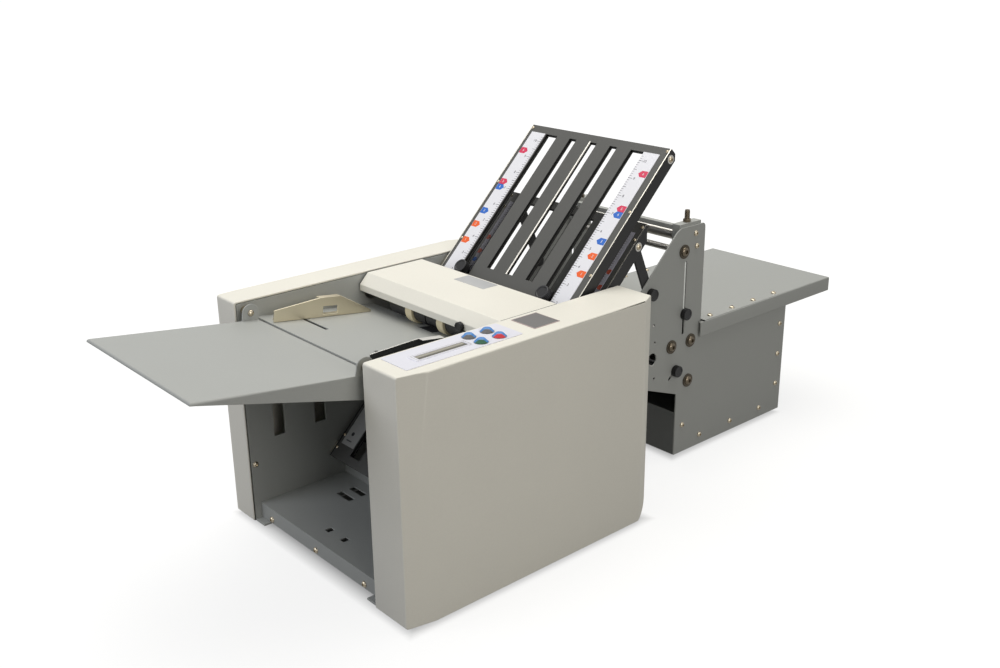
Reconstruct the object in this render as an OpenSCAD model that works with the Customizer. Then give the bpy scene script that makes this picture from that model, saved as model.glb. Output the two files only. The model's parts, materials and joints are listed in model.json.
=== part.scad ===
// Desk paper folding machine: friction feed, six fold rollers and four fold plates
// between two side housings, with a delivery unit and a table behind them.
// +X runs from the feed tray to the delivery table, -Y is the operator's side, +Z is up.

/* [Body] */
// Height of the side housings without the feet
housing_h = 277; // [265:1:300]
// Length of the side housings
body_l = 362; // [350:1:390]
// Clear width between the side frames
inner_w = 250; // [246:1:280]
// Thickness of the near housing, which holds the drive
near_t = 61; // [58:1:75]
// Thickness of the far housing
far_t = 43; // [38:1:60]
// Wall of the housing shells and of the top cover
shell_t = 2.5; // [1.5:0.5:3]
// Radius of the rounded housing edges
edge_r = 3; // [1:0.5:4]
// Radius of the lower rear corner of the housings
heel_r = 20; // [10:1:30]
// Length of the taper at the front of the near housing
taper_l = 34; // [20:1:50]
// How far the front taper goes inwards
taper_in = 7; // [3:1:10]
// Length of the bevelled rear facet
facet_l = 22; // [10:1:30]
// How far the rear facet goes inwards
facet_in = 11; // [5:1:15]

/* [Chassis] */
// Thickness of the steel side frames
frame_t = 2.5; // [2:0.5:3]
// Height of the main feet
foot_h = 4; // [3:0.5:8]
// Radius of the feet
foot_r = 9; // [6:0.5:10]
// Thickness of folded sheet parts
sheet_t = 1.5; // [1:0.1:2]
// Height of the floor above the feet
floor_h = 22; // [16:1:30]
// Set-back of the front lip of the floor
lip_back = 11; // [6:1:20]
// Radius of the heads of the button screws
head_r = 3.8; // [3:0.1:4.5]
// Height of those heads
head_h = 2.4; // [1.5:0.1:3]

/* [Rollers] */
// Distance from the deck down to the first roller nip
nip_drop = 49; // [46:1:60]
// Distance of the first nip from the rear of the housing
nip_back = 110.25; // [102:0.25:115]
// Centre distance of meeting rollers, and pitch diameter of their gears
roller_pitch = 22.5; // [22:0.5:23]
// Radius of the roller shafts
shaft_r = 5; // [4:0.5:6]
// Running clearance of a shaft in its bearing
run_gap = 0.05; // [0.03:0.01:0.08]
// Gap between two roller faces
nip_gap = 0.3; // [0.2:0.1:0.5]
// Teeth of each roller gear
gear_teeth = 26; // [20:2:30]
// Width of the roller gears
gear_w = 4.5; // [3:0.5:5]
// Radius of the feed tyres
tyre_r = 16.5; // [14:0.5:17]
// Width of a feed tyre
tyre_w = 12; // [8:1:20]
// Distance between the two feed tyres
tyre_pitch = 58; // [45:1:70]
// Radius of the feed shaft
feed_shaft_r = 4; // [3:0.5:5]
// Radius of the pulley on the driven roller
big_pulley_r = 24; // [20:1:26]
// Radius of the motor pulley
motor_pulley_r = 12; // [10:1:15]
// Radius of the drive motor
motor_r = 30; // [24:1:32]
// Length of the drive motor
motor_l = 74; // [60:1:90]

/* [Feed] */
// Slope of the feed tray and of the bed
tray_tilt = 7.6; // [5:0.1:9]
// Width of the feed tray
tray_w = 224; // [216:1:232]
// Length of the feed tray from its pivot
tray_l = 187; // [150:1:220]
// Depth of the pivot below the deck
pivot_drop = 11.5; // [11:0.5:16]
// Distance of the pivot from the front of the housing
pivot_x = 12.5; // [11:0.5:16]
// Height of the pivot above the tray surface
pivot_up = 8.7; // [8:0.1:10]
// Radius of the tray's pivot ears
ear_r = 10.5; // [8:0.5:11]
// Distance between the paper faces of the side guides
guide_gap = 184; // [150:1:190]
// Clearance between sliding or swinging parts
clear = 0.4; // [0.3:0.1:0.6]

/* [Cover] */
// Length of the cover along the paper path
cover_l = 96; // [92:0.5:98]
// How far the cover reaches behind the first nip
cover_over = 12.75; // [12:0.25:15]
// Depth of the cover below the deck
cover_drop = 1.4; // [1:0.2:3]
// Size of the sloped front of the cover
cover_slope = 12.5; // [8:0.5:14]
// Height of the cover's front lip under the slope
cover_lip = 8; // [6:0.5:10]
// Thickness of the cover sheet
cover_t = 2; // [1.5:0.1:2.2]

/* [Controls] */
// Thickness of the control panel overlay
panel_t = 0.8; // [0.5:0.1:1.5]
// Radius of the keys
key_r = 7.5; // [6:0.5:8]
// Height of a key above the panel
key_h = 2.6; // [2:0.1:4]
// Travel of a key
key_travel = 0.8; // [0.5:0.1:0.9]

/* [Fold plates] */
// Length of the first upper fold plate
plate1_l = 272.5; // [250:0.5:285]
// Width of the seats between the fold plates and the side frames
seat_w = 6; // [5:0.5:8]
// Length of the second upper fold plate
plate3_l = 186; // [170:1:200]
// Length of the first lower fold plate
plate2_l = 216; // [190:1:225]
// Length of the second lower fold plate
plate4_l = 178; // [150:1:185]
// Clear gap for the paper inside a fold plate
paper_gap = 3; // [2.6:0.2:4]
// Depth of the side channels of a fold plate
channel_d = 16; // [14:0.5:17]
// Radius of the knobs on the fold stops
stop_knob_r = 9; // [7:0.5:10]

/* [Delivery unit] */
// Width over the side plates
rear_w = 203; // [200:1:208]
// Thickness of the side plates
rear_t = 2; // [1.5:0.5:3]
// Height of the box bottom above the ground
rear_foot_h = 7; // [4:0.5:12]
// Distance of the box front from the rear of the housing
rear_gap = 141; // [138:1:144]
// Length of the box under the table
box_l = 232.5; // [217:0.5:242]
// Height of the delivery table above the ground
table_z = 187.4; // [186:0.2:192]
// Width of the delivery table
table_w = 214; // [211:1:220]
// Length of the delivery table
table_l = 291; // [260:1:305]
// Depth of the table's folded lips
table_lip = 20; // [12:1:25]
// Height of the fins above the ground
fin_z = 319; // [315:1:325]
// Radius of the cross rods
rod_r = 4; // [3:0.5:5]
// Radius of the round clamp knobs
knob_r = 7; // [5:0.5:8]
// Height of the round clamp knobs
knob_h = 7; // [5:0.5:9]

/* [Hidden] */
$fn = 48;

// Colours as the machine shows them
cream = "#F6F3E6";
grey_paint = "#8E908D";
dark_plate = "#5B5B58";
black_part = "#1E1E20";
bright_steel = "#B9B5AC";
rubber = "#2A2A2C";

// Levels and widths of the body
deck_z = foot_h + housing_h;
total_w = near_t + inner_w + far_t;
y_near = near_t;
y_far = near_t + inner_w;
y_mid = near_t + inner_w / 2;
frame_z1 = deck_z - shell_t - 0.5;
floor_z = foot_h + floor_h;
floor_x1 = body_l - 12;
nip_x = body_l - nip_back;
cover_x1 = nip_x + cover_over;
cover_x0 = cover_x1 - cover_l;
box_x0 = body_l + rear_gap;
box_x1 = box_x0 + box_l;
table_x0 = box_x0 + 37;
table_x1 = table_x0 + table_l;

// Feed path, in the tilted frame of the tray: x along the paper, z across it
pivot_z = deck_z - pivot_drop;
tray_t = 1.2;
tray_hem = 3.5;
tray_inner = 12;
tray_lip_out = 4;
tray_lip_in = 27;
bed_x0 = 15.5;
bed_lip = 14;
feed_x = nip_x - 76.75;
bed_x1 = feed_x + 5;
feed_z = -pivot_up + clear + tyre_r;
guide_x0 = 19;
guide_x1 = feed_x - 23;
guide_t = 1.5;
guide_foot = 13;
guide_slot_x = 60;
stud_r = 2.2;
stud_y = guide_foot / 2;

// Bounding box, to put the origin under its centre
tip_x = pivot_x - tray_l * cos(tray_tilt) - (pivot_up + tray_hem) * sin(tray_tilt);
centre_x = (tip_x + table_x1) / 2;

// Roller centres: each one meets the next at a right angle
roller_r = (roller_pitch - nip_gap) / 2;
nip_z = deck_z - nip_drop;
rollers = [for (i = [0:5])
  [nip_x + floor(i / 2) * roller_pitch,
   nip_z + roller_pitch / 2 - floor((i + 1) / 2) * roller_pitch]];
drum_end_gap = 2;
bearing_r = 9.5;
bearing_w = 3.6;
gear_y1 = y_near - frame_t - 2.5;
gear_y0 = gear_y1 - gear_w;
pulley_w = 10;
pulley_y1 = gear_y0 - 1.5;
pulley_y0 = pulley_y1 - pulley_w;
motor_x = nip_x + 48.25;
motor_z = foot_h + 60;
motor_shaft_r = 4;
belt_t = 2;

// Fold plates
half_stack = paper_gap / 2 + sheet_t;
channel_low = half_stack + 0.5 - channel_d;
plate_w = inner_w - 2 * seat_w;
slot_mid = [for (share = [-0.288, -0.132, 0.008, 0.148, 0.304]) share * inner_w];
slot_w = [21, 12, 13, 12, 20];
slot_end = 11;
plate1_mouth = [nip_x + roller_pitch / 2, nip_z];
plate2_mouth = [nip_x + roller_pitch / 2, nip_z - roller_pitch];
plate3_mouth = [nip_x + roller_pitch * 1.5, nip_z - roller_pitch];
plate4_mouth = [nip_x + roller_pitch * 1.5, nip_z - roller_pitch * 2];
stop_u1 = 49.5;
stop_u2 = 40;
stop_u3 = 48;
stop_u4 = 40;

// Delivery unit
ry0 = y_mid - rear_w / 2;
ry1 = y_mid + rear_w / 2;
table_y0 = y_mid - table_w / 2;
table_y1 = y_mid + table_w / 2;
plate_top_z = table_z - sheet_t;
fin_x1 = box_x0 + 43;
fin_slope = box_x0 - 327;
arm_x0 = body_l - 32;
arm_z0 = 150;
arm_z1 = 190;
arm_low_x = box_x0 - 56;
arm_low_z = 116;
shoulder_z = 95;
strut_t = 3;
strut_pin_r = 2;
slot_r = 2;
slot_x = box_x0 + 8;
slot_z0 = 178;
slot_z1 = 272;
bar_z = 205;
deflector_x = box_x0 - 5;
deflector_z = 130;
deflector_reach = 14;
rod_ends = [for (c = [[3, 288], [-14.5, 165], [23, 165], [21, 109.5]]) [box_x0 + c.x, c.y]];
strut_foot = [box_x0 - 58, fin_z - 73.5];
block_x0 = box_x0 - 5;
block_x1 = box_x0 + 36;
press_x = box_x0 + 11;
press_z = fin_z - 14;
press_r = 7;
press_pin_r = 3;
small_screws = [[box_x0 + 24.5, fin_z - 11], [box_x0 + 27.5, fin_z - 28]];

// Places the machine with its origin under the middle of its bounding box
module placed() translate([-centre_x, -total_w / 2, 0]) children();

// A shape and its mirror image across the plane y = mid
module both_sides(mid) {
  children();
  translate([0, 2 * mid, 0]) mirror([0, 1, 0]) children();
}

// ---- shared shapes -------------------------------------------------------------

// Box between two corners
module block(a, b) translate(a) cube(b - a);

// Cylinder along Y between two widths, at x and z
module rod_y(x, z, r, y0, y1) translate([x, y1, z]) rotate([90, 0, 0]) cylinder(r = r, h = y1 - y0);

// Sheet in the XZ plane between two widths
module sheet_y(y0, y1) translate([0, y1, 0]) rotate([90, 0, 0]) linear_extrude(y1 - y0) children();

// Rectangle with rounded corners
module round_rect(a, b, r) {
  translate([a.x + r, a.y]) square([b.x - a.x - 2 * r, b.y - a.y]);
  translate([a.x, a.y + r]) square([b.x - a.x, b.y - a.y - 2 * r]);
  for (x = [a.x + r, b.x - r], y = [a.y + r, b.y - r]) translate([x, y]) circle(r);
}

// Slot in the XZ plane from one centre to another
module slot_2d(a, b, r) {
  d = b - a;
  translate(a) circle(r);
  translate(b) circle(r);
  translate(a) rotate(atan2(d.y, d.x)) translate([0, -r]) square([norm(d), 2 * r]);
}

// Button head screw whose head stands on the plane z = 0
module button_head(shank) {
  rotate_extrude() intersection() {
    translate([0, -head_r * 1.2 + head_h]) circle(head_r * 1.2);
    square([head_r, head_h]);
  }
  translate([0, 0, -shank]) cylinder(r = head_r * 0.5, h = shank + 0.1);
}

// Tilted frame of the feed path, with its origin on the tray pivot
module feed_frame() translate([pivot_x, 0, pivot_z]) rotate([0, tray_tilt, 0]) children();

// Frames of the fold plates: x away from the rollers, z through the plate
module upper_plate(mouth) translate([mouth.x, y_mid, mouth.y]) rotate([0, -45, 0]) children();
module lower_plate(mouth) translate([mouth.x, y_mid, mouth.y]) rotate([0, 135, 0]) children();
module lower_front(mouth) lower_plate(mouth) mirror([0, 0, 1]) children();

// ---- housings and chassis ------------------------------------------------------

// Outline of a housing from the side, with the rounded rear heel; m insets it
module housing_side(m) {
  x1 = body_l - m;
  z0 = foot_h + m;
  r = heel_r - m;
  difference() {
    round_rect([m, z0], [x1, deck_z - m], edge_r - m / 2);
    difference() {
      translate([x1 - r, z0 - 1]) square([r + 1, r + 1]);
      translate([x1 - r, z0 + r]) circle(r);
    }
  }
}

// Housing body with the taper in front and the facet behind; m insets every wall
module housing_block(t, front, m) intersection() {
  sheet_y(0, t) housing_side(m);
  linear_extrude(deck_z + 1) polygon([
    [m, t], [m, front + m], [taper_l, m], [body_l - facet_l, m],
    [body_l - m, facet_in + m], [body_l - m, t]]);
  rotate([90, 0, 90]) linear_extrude(body_l) round_rect([m, 0], [t + 10, deck_z - m], edge_r - m / 2);
}

module near_housing() placed() color(cream) difference() {
  housing_block(near_t, taper_in, 0);
  housing_block(near_t, taper_in, shell_t);
  block([shell_t, shell_t + facet_in, 0], [body_l - shell_t - heel_r, near_t + 1, foot_h + shell_t + 1]);
  for (k = key_places)
    translate([k.x, k.y, deck_z - shell_t - 1]) cylinder(r = key_stem_r + clear, h = shell_t + 2);
  block([lcd_x0, lcd_y0, deck_z - shell_t - 1], [lcd_x1, lcd_y1, deck_z + 1]);
  block([body_l - shell_t - 1, inlet_y0, inlet_z0], [body_l + 1, inlet_y1, inlet_z1]);
  block([body_l - shell_t - 1, switch_y0, switch_z0], [body_l + 1, switch_y1, switch_z1]);
}

module far_housing() placed() color(cream) translate([0, total_w, 0]) mirror([0, 1, 0]) difference() {
  housing_block(far_t, taper_in / 2, 0);
  housing_block(far_t, taper_in / 2, shell_t);
  block([shell_t, shell_t + facet_in, 0], [body_l - shell_t - heel_r, far_t + 1, foot_h + shell_t + 1]);
}

// Slots of the far and near frames, seen behind the feed tray
frame_slots = [[37.5, 52.5], [95, 110]];
frame_slot_z0 = foot_h + 100.5;
frame_slot_z1 = foot_h + 150;
flange_w = 22;
frame_inset = shell_t + 0.5;
frame_x1 = body_l - frame_inset - heel_r;

// Steel side frame with its bearing bores, from y0; the near one also carries the motor
module side_frame(y0, inward) {
  flange_y = inward > 0 ? y0 : y0 + frame_t - flange_w;
  difference() {
    block([frame_inset, y0, foot_h], [frame_x1, y0 + frame_t, frame_z1]);
    for (c = rollers) rod_y(c.x, c.y, bearing_r + run_gap, y0 - 1, y0 + frame_t + 1);
    feed_frame() rod_y(feed_x, feed_z, bearing_r + run_gap, y0 - 1, y0 + frame_t + 1);
    for (s = frame_slots) block([s[0], y0 - 1, frame_slot_z0], [s[1], y0 + frame_t + 1, frame_slot_z1]);
    rod_y(cover_pin_x, cover_pin_z, cover_pin_r + run_gap, y0 - 1, y0 + frame_t + 1);
    rod_y(pivot_x, pivot_z, tray_pin_r + run_gap, y0 - 1, y0 + frame_t + 1);
    if (inward > 0) rod_y(motor_x, motor_z, motor_shaft_r * 3, y0 - 1, y0 + frame_t + 1);
    feed_frame() rod_y(stop_pin_x, stop_pin_z, tray_pin_r + run_gap, y0 - 1, y0 + frame_t + 1);
  }
  block([frame_inset, flange_y, foot_h], [frame_x1, flange_y + flange_w, foot_h + frame_t]);
}

module near_side_frame() placed() color(grey_paint) side_frame(y_near - frame_t, 1);
module far_side_frame() placed() color(grey_paint) side_frame(y_far, -1);

// Floor of the machine: a folded tray with its front lip, access holes and rear upstand
floor_screw_y = [35, 130, 225];
floor_lip_z = foot_h + frame_t + 0.5;
floor_screw_z = foot_h + 8.5;
cross_x = 133;
cross_h = 24;
front_holes_x = [31.5, 40];
front_holes_y = [y_near + 104, y_near + 134];
front_hole_w = 7.5;
rear_holes_x = [95, 113];
rear_hole_w = 8;
rear_hole_y0 = y_near + 180;
rear_hole_y1 = y_near + 207;
rear_upstand_h = 40;
module base_plate() placed() color(grey_paint) difference() {
  union() {
    block([lip_back, y_near, floor_z - sheet_t], [floor_x1, y_far, floor_z]);
    block([lip_back, y_near, floor_lip_z], [lip_back + sheet_t, y_far, floor_z]);
    both_sides(y_mid) block([lip_back, y_near, floor_lip_z], [floor_x1, y_near + sheet_t, floor_z]);
    block([floor_x1 - sheet_t, y_near, floor_lip_z], [floor_x1, y_far, floor_z + rear_upstand_h]);
    block([cross_x, y_near, floor_z - 1], [cross_x + sheet_t, y_far, floor_z + cross_h]);
  }
  for (y = front_holes_y)
    block([front_holes_x[0], y, floor_z - 5], [front_holes_x[1], y + front_hole_w, floor_z + 1]);
  for (x = rear_holes_x)
    block([x - rear_hole_w / 2, rear_hole_y0, floor_z - 5], [x + rear_hole_w / 2, rear_hole_y1, floor_z + 1]);
  for (y = floor_screw_y)
    translate([lip_back - 1, y_near + y, floor_screw_z]) rotate([0, 90, 0])
      cylinder(r = head_r * 0.5 + run_gap, h = sheet_t + 2);
}

module rubber_feet() placed() color(rubber) {
  for (x = [lip_back + 38, body_l - 50], y = [y_near + foot_r + 2, y_far - foot_r - 2])
    translate([x, y, 0]) cylinder(r = foot_r, h = foot_h);
  for (x = [box_x0 + 40, box_x1 - 40], y = [ry0 + 22, ry1 - 22])
    translate([x, y, 0]) cylinder(r = foot_r, h = rear_foot_h);
}

// All button head screws of the machine, each on the face that it holds
side_screw_in = 12.5;
low_row_x = 52;
low_row_z = 14.5;
low_row_pitch = 66;
back_row_z = 42.5;
back_row_pitch = 45.5;
table_row_x = 30.5;
table_row_pitch = 46.3;
frame_screw_h = 73;
rear_side_screws = concat(
  [[box_x0 + side_screw_in + 2, rear_foot_h + 40]],
  [for (i = [0:2]) [box_x0 + low_row_x + i * low_row_pitch, rear_foot_h + low_row_z]],
  [for (i = [0:2]) [box_x1 - side_screw_in, rear_foot_h + back_row_z + i * back_row_pitch]]);
table_screw_x = [for (i = [0:3]) table_x0 + table_row_x + i * table_row_pitch];
frame_screw_x = 9;
frame_screw_z = foot_h + frame_screw_h;
table_screw_in = 4.5;
plate1_screws = [90, 179.5, plate1_l - 5];
plate2_screws = [plate2_l - 31, plate2_l - 13];
plate3_screws = [162, plate3_l - 6];
edge_head_r = 2.1;
edge_screw_in = sheet_t + edge_head_r + 0.1;
side_screw1_in = 10;
side_screw3_in = 28;
module button_screws() placed() color(bright_steel) {
  for (y = floor_screw_y)
    translate([lip_back, y_near + y, floor_screw_z]) rotate([0, -90, 0]) button_head(sheet_t);
  both_sides(y_mid) {
    translate([frame_screw_x, y_near, frame_screw_z]) rotate([-90, 0, 0]) button_head(0);
    for (s = concat(rear_side_screws, small_screws))
      translate([s.x, ry0, s.y]) rotate([90, 0, 0]) button_head(0);
    for (x = table_screw_x) translate([x, ry0 + table_screw_in, table_z]) button_head(0);
  }
  upper_plate(plate1_mouth) both_sides(0) {
    edge_screws(plate1_screws);
    side_screw(plate1_l - side_screw1_in);
  }
  lower_front(plate2_mouth) both_sides(0) edge_screws(plate2_screws);
  upper_plate(plate3_mouth) both_sides(0) {
    edge_screws(plate3_screws);
    side_screw(plate3_l - side_screw3_in);
  }
}

// Small screws along the edge of a fold plate, and the screw in the side of its channel
module edge_screws(places) for (u = places)
  translate([u, edge_screw_in - plate_w / 2, half_stack]) scale(edge_head_r / head_r) button_head(0);
module side_screw(u) translate([u, -plate_w / 2, channel_low + channel_d / 2]) rotate([90, 0, 0])
  button_head(0);

// ---- controls ------------------------------------------------------------------

panel_x0 = 18.5;
panel_x1 = 168.5;
panel_y0 = 14;
panel_y1 = 57;
bezel_x0 = 38.5;
bezel_x1 = 107.5;
bezel_y0 = 24;
bezel_y1 = 39.7;
lcd_x0 = 44;
lcd_x1 = 106;
lcd_y0 = 27;
lcd_y1 = 37.3;
key_stem_r = 3;
key_places = [[120.5, 44], [145, 44], [120.5, 24.5], [145, 24.5]];
board_z = deck_z - 16;
board_t = 1.6;
board_screw_x = [36, 159];
board_screw_y = [19, 49];
board_post_r = 3;
switch_top = board_z + board_t + 4.5;
module control_panel() placed() color("#E9E8F2") difference() {
  union() {
    translate([0, 0, deck_z]) linear_extrude(panel_t)
      round_rect([panel_x0, panel_y0], [panel_x1, panel_y1], 2);
    block([bezel_x0, bezel_y0, deck_z], [bezel_x1, bezel_y1, deck_z + panel_t + 0.6]);
  }
  block([lcd_x0, lcd_y0, deck_z - 1], [lcd_x1, lcd_y1, deck_z + panel_t + 1]);
  for (k = key_places) translate([k.x, k.y, deck_z - 1]) cylinder(r = key_r + clear, h = panel_t + 2);
}

module lcd_window() placed() color("#5F625A") {
  block([lcd_x0, lcd_y0, deck_z - shell_t], [lcd_x1, lcd_y1, deck_z + panel_t - 0.2]);
}

board_x0 = 30;
board_x1 = 165;
board_y0 = 14;
board_y1 = 54;
module circuit_board() placed() color("#2E6B45") {
  difference() {
    block([board_x0, board_y0, board_z], [board_x1, board_y1, board_z + board_t]);
    for (x = board_screw_x, y = board_screw_y)
      translate([x, y, board_z - 1]) cylinder(r = 1.6, h = board_t + 2);
  }
  for (x = board_screw_x, y = board_screw_y)
    translate([x, y, board_z + board_t]) cylinder(r = board_post_r, h = deck_z - shell_t - board_z - board_t);
  block([lcd_x0 - 2, lcd_y0 - 4, board_z + board_t], [lcd_x1 + 2, lcd_y1 + 4, deck_z - shell_t]);
  for (k = key_places)
    translate([k.x, k.y, board_z + board_t]) cylinder(r = 3.5, h = switch_top - board_z - board_t);
}

// A key: a low dome on a stem that reaches down to its switch
key_floor = switch_top + key_travel + 0.1;
key_base = deck_z + key_travel + 0.3;
module key_cap(place, tone) placed() color(tone) translate([place.x, place.y, 0]) {
  translate([0, 0, key_floor]) cylinder(r = key_stem_r, h = key_base - key_floor + 0.5);
  translate([0, 0, key_base]) rotate_extrude() intersection() {
    translate([0, -key_r * 1.6 + key_h]) circle(key_r * 1.75);
    square([key_r, key_h]);
  }
}
module plus_key() key_cap(key_places[0], "#4F79B5");
module minus_key() key_cap(key_places[1], "#4F79B5");
module start_key() key_cap(key_places[2], "#2F6E9E");
module stop_key() key_cap(key_places[3], "#D23B4E");

inlet_y0 = 18;
inlet_y1 = 46;
inlet_z0 = foot_h + 40;
inlet_z1 = foot_h + 60;
switch_y0 = 22;
switch_y1 = 42;
switch_z0 = foot_h + 70;
switch_z1 = foot_h + 84;
module power_inlet() placed() color(black_part) {
  inlet_socket();
  switch_body();
}
module inlet_socket() difference() {
  union() {
    block([body_l - 24, inlet_y0 + 0.3, inlet_z0 + 0.3], [body_l + 0.5, inlet_y1 - 0.3, inlet_z1 - 0.3]);
    block([body_l, inlet_y0 - 3, inlet_z0 - 3], [body_l + 2, inlet_y1 + 3, inlet_z1 + 3]);
  }
  block([body_l - 16, inlet_y0 + 2.5, inlet_z0 + 2.5], [body_l + 3, inlet_y1 - 2.5, inlet_z1 - 2.5]);
}

// Body of the rocker switch, part of the same socket unit
module switch_body() {
  block([body_l - 22, switch_y0 - 2, switch_z0], [body_l - 14, switch_y1 + 2, switch_z1]);
  for (y = [switch_y0 - 2, switch_y1])
    block([body_l - 22, y, switch_z0], [body_l - shell_t, y + 2, switch_z1]);
  rod_y(switch_x, switch_z, switch_pin_r, switch_y0 - 1, switch_y1 + 1);
}

// Rocker on a pin, in a body behind the rear wall; it rests tilted to its off side
switch_x = body_l - 5;
switch_z = (switch_z0 + switch_z1) / 2;
switch_r = 9;
switch_tilt = 8;
switch_pin_r = 1.5;
module power_switch() placed() color(black_part) difference() {
  translate([switch_x, 0, switch_z]) rotate([0, -switch_tilt, 0]) intersection() {
    rod_y(0, 0, switch_r, switch_y0 + clear, switch_y1 - clear);
    block([-5, switch_y0, -5.4], [switch_r, switch_y1, 5.4]);
  }
  rod_y(switch_x, switch_z, switch_pin_r + run_gap, switch_y0, switch_y1);
}

// ---- feed ----------------------------------------------------------------------

tray_pin_r = 2.5;
tray_y0 = y_mid - tray_w / 2;
tray_y1 = y_mid + tray_w / 2;
module tray_side() {
  polygon([
    [-tray_l, -pivot_up - tray_hem], [-tray_l, -pivot_up], [-ear_r, -pivot_up], [-ear_r, 0],
    [ear_r, 0], [ear_r, -pivot_up - tray_t], [tray_inner, -pivot_up - tray_lip_in + 4],
    [tray_inner - 4, -pivot_up - tray_lip_in], [-tray_l + 6, -pivot_up - tray_lip_out]]);
  circle(ear_r);
}
module feed_tray() placed() color(grey_paint) feed_frame() difference() {
  union() {
    block([-tray_l, tray_y0, -pivot_up - tray_t], [tray_inner, tray_y1, -pivot_up]);
    block([-tray_l, tray_y0, -pivot_up - tray_hem], [-tray_l + tray_t, tray_y1, -pivot_up]);
    sheet_y(tray_y0, tray_y0 + sheet_t) tray_side();
    sheet_y(tray_y1 - sheet_t, tray_y1) tray_side();
  }
  rod_y(0, 0, tray_pin_r + run_gap, tray_y0 - 1, tray_y1 + 1);
}

// Shoulder screws that carry the tray, and the pins that its lips rest against
tray_bush = (inner_w - tray_w) / 2;
stop_pin_x = tray_inner + tray_pin_r + 0.1;
stop_pin_z = -pivot_up - tray_lip_in + 9;
module tray_pivots() placed() color(bright_steel) both_sides(y_mid) feed_frame() {
  rod_y(0, 0, tray_pin_r, y_near - frame_t, tray_y0 + sheet_t + clear);
  rod_y(0, 0, 5, y_near, tray_y0 - clear);
  translate([0, tray_y0 + sheet_t + clear, 0]) rotate([-90, 0, 0]) button_head(0);
  rod_y(stop_pin_x, stop_pin_z, tray_pin_r, y_near - frame_t, tray_y0 + sheet_t);
}

// Bed between the tray and the fold rollers, with slots for the guide studs
module feed_bed() placed() color(grey_paint) feed_frame() difference() {
  union() {
    block([bed_x0, y_near, -pivot_up - sheet_t], [bed_x1, y_far, -pivot_up]);
    for (y = [y_near, y_far - sheet_t])
      block([bed_x0, y, -pivot_up - bed_lip], [bed_x1, y + sheet_t, -pivot_up]);
    block([bed_x0, y_near, -pivot_up - bed_lip], [bed_x0 + sheet_t, y_far, -pivot_up]);
  }
  both_sides(y_mid) translate([guide_slot_x, y_mid - guide_gap / 2 - stud_y, 0]) block(
    [-stud_r - clear, -guide_out - stud_r - clear, -pivot_up - 5],
    [stud_r + clear, guide_in + stud_r + clear, -pivot_up + 1]);
  block([feed_x - 12, y_mid - 13, -pivot_up - 5], [feed_x + 12, y_mid + 13, -pivot_up + 1]);
}

// Rubber retard pad in its holder, under the feed roller
module separator_pad() placed() color("#3A3A3C") feed_frame() {
  block([feed_x - 11, y_mid - 12, -pivot_up - 4], [feed_x + 11, y_mid + 12, -pivot_up - 0.2]);
  block([feed_x - 14, y_mid - 15, -pivot_up - 6], [feed_x + 14, y_mid + 15, -pivot_up - sheet_t - 0.1]);
}

// Travel of a side guide inwards and outwards
guide_in = 50;
guide_out = 17;
guide_top = 15;
guide_tab_x0 = 79;
guide_tab_x1 = 108;
guide_tab_w = 9;
module guide_2d() difference() {
  polygon([
    [guide_x0, -pivot_up + 0.3], [guide_x0, 5.3], [guide_tab_x0, guide_top],
    [guide_tab_x1, guide_top], [guide_x1, -pivot_up + 3], [guide_x1, -pivot_up + 0.3]]);
  translate([84, -pivot_up + 3.5]) square([20, 9.5]);
}

// Side guide with its paper face at y = 0 and its foot on the outer side, towards -Y
module side_guide() {
  sheet_y(-guide_t, 0) guide_2d();
  block([guide_x0 + 6, -guide_foot, -pivot_up + 0.3], [guide_x1 - 25, 0, -pivot_up + 1.8]);
  block([guide_tab_x0, -guide_tab_w, guide_top - guide_t], [guide_tab_x1, 0, guide_top]);
  translate([guide_slot_x, -stud_y, -pivot_up - 9]) cylinder(r = stud_r, h = 10);
  translate([guide_slot_x, -stud_y, -pivot_up - 10]) cylinder(r = 6, h = 10 - sheet_t - 0.3);
}
module near_guide() placed() color(bright_steel) feed_frame()
  translate([0, y_mid - guide_gap / 2, 0]) side_guide();
module far_guide() placed() color(bright_steel) feed_frame()
  translate([0, y_mid + guide_gap / 2, 0]) mirror([0, 1, 0]) side_guide();

module feed_roller() placed() color(black_part) feed_frame() {
  rod_y(feed_x, feed_z, feed_shaft_r, y_near - frame_t - 3, y_far + frame_t + 1);
  rod_y(feed_x, feed_z, tyre_r - 5, hub_y0, 2 * y_mid - hub_y0);
  both_sides(y_mid) {
    rod_y(feed_x, feed_z, tyre_r - 2.5, hub_y0, tyre_y0 - 1);
    rod_y(feed_x, feed_z, tyre_r - 2.5, tyre_y0 + tyre_w + 1, y_mid - 1);
  }
}
hub_y0 = y_mid - tyre_pitch / 2 - tyre_w / 2 - 34;
tyre_y0 = y_mid - tyre_pitch / 2 - tyre_w / 2;

module feed_tyres() placed() color("#E8DEC0") feed_frame() both_sides(y_mid) difference() {
  rod_y(feed_x, feed_z, tyre_r, tyre_y0, tyre_y0 + tyre_w);
  rod_y(feed_x, feed_z, tyre_r - 5 + run_gap, tyre_y0 - 1, tyre_y0 + tyre_w + 1);
}

// ---- top cover -----------------------------------------------------------------

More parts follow.
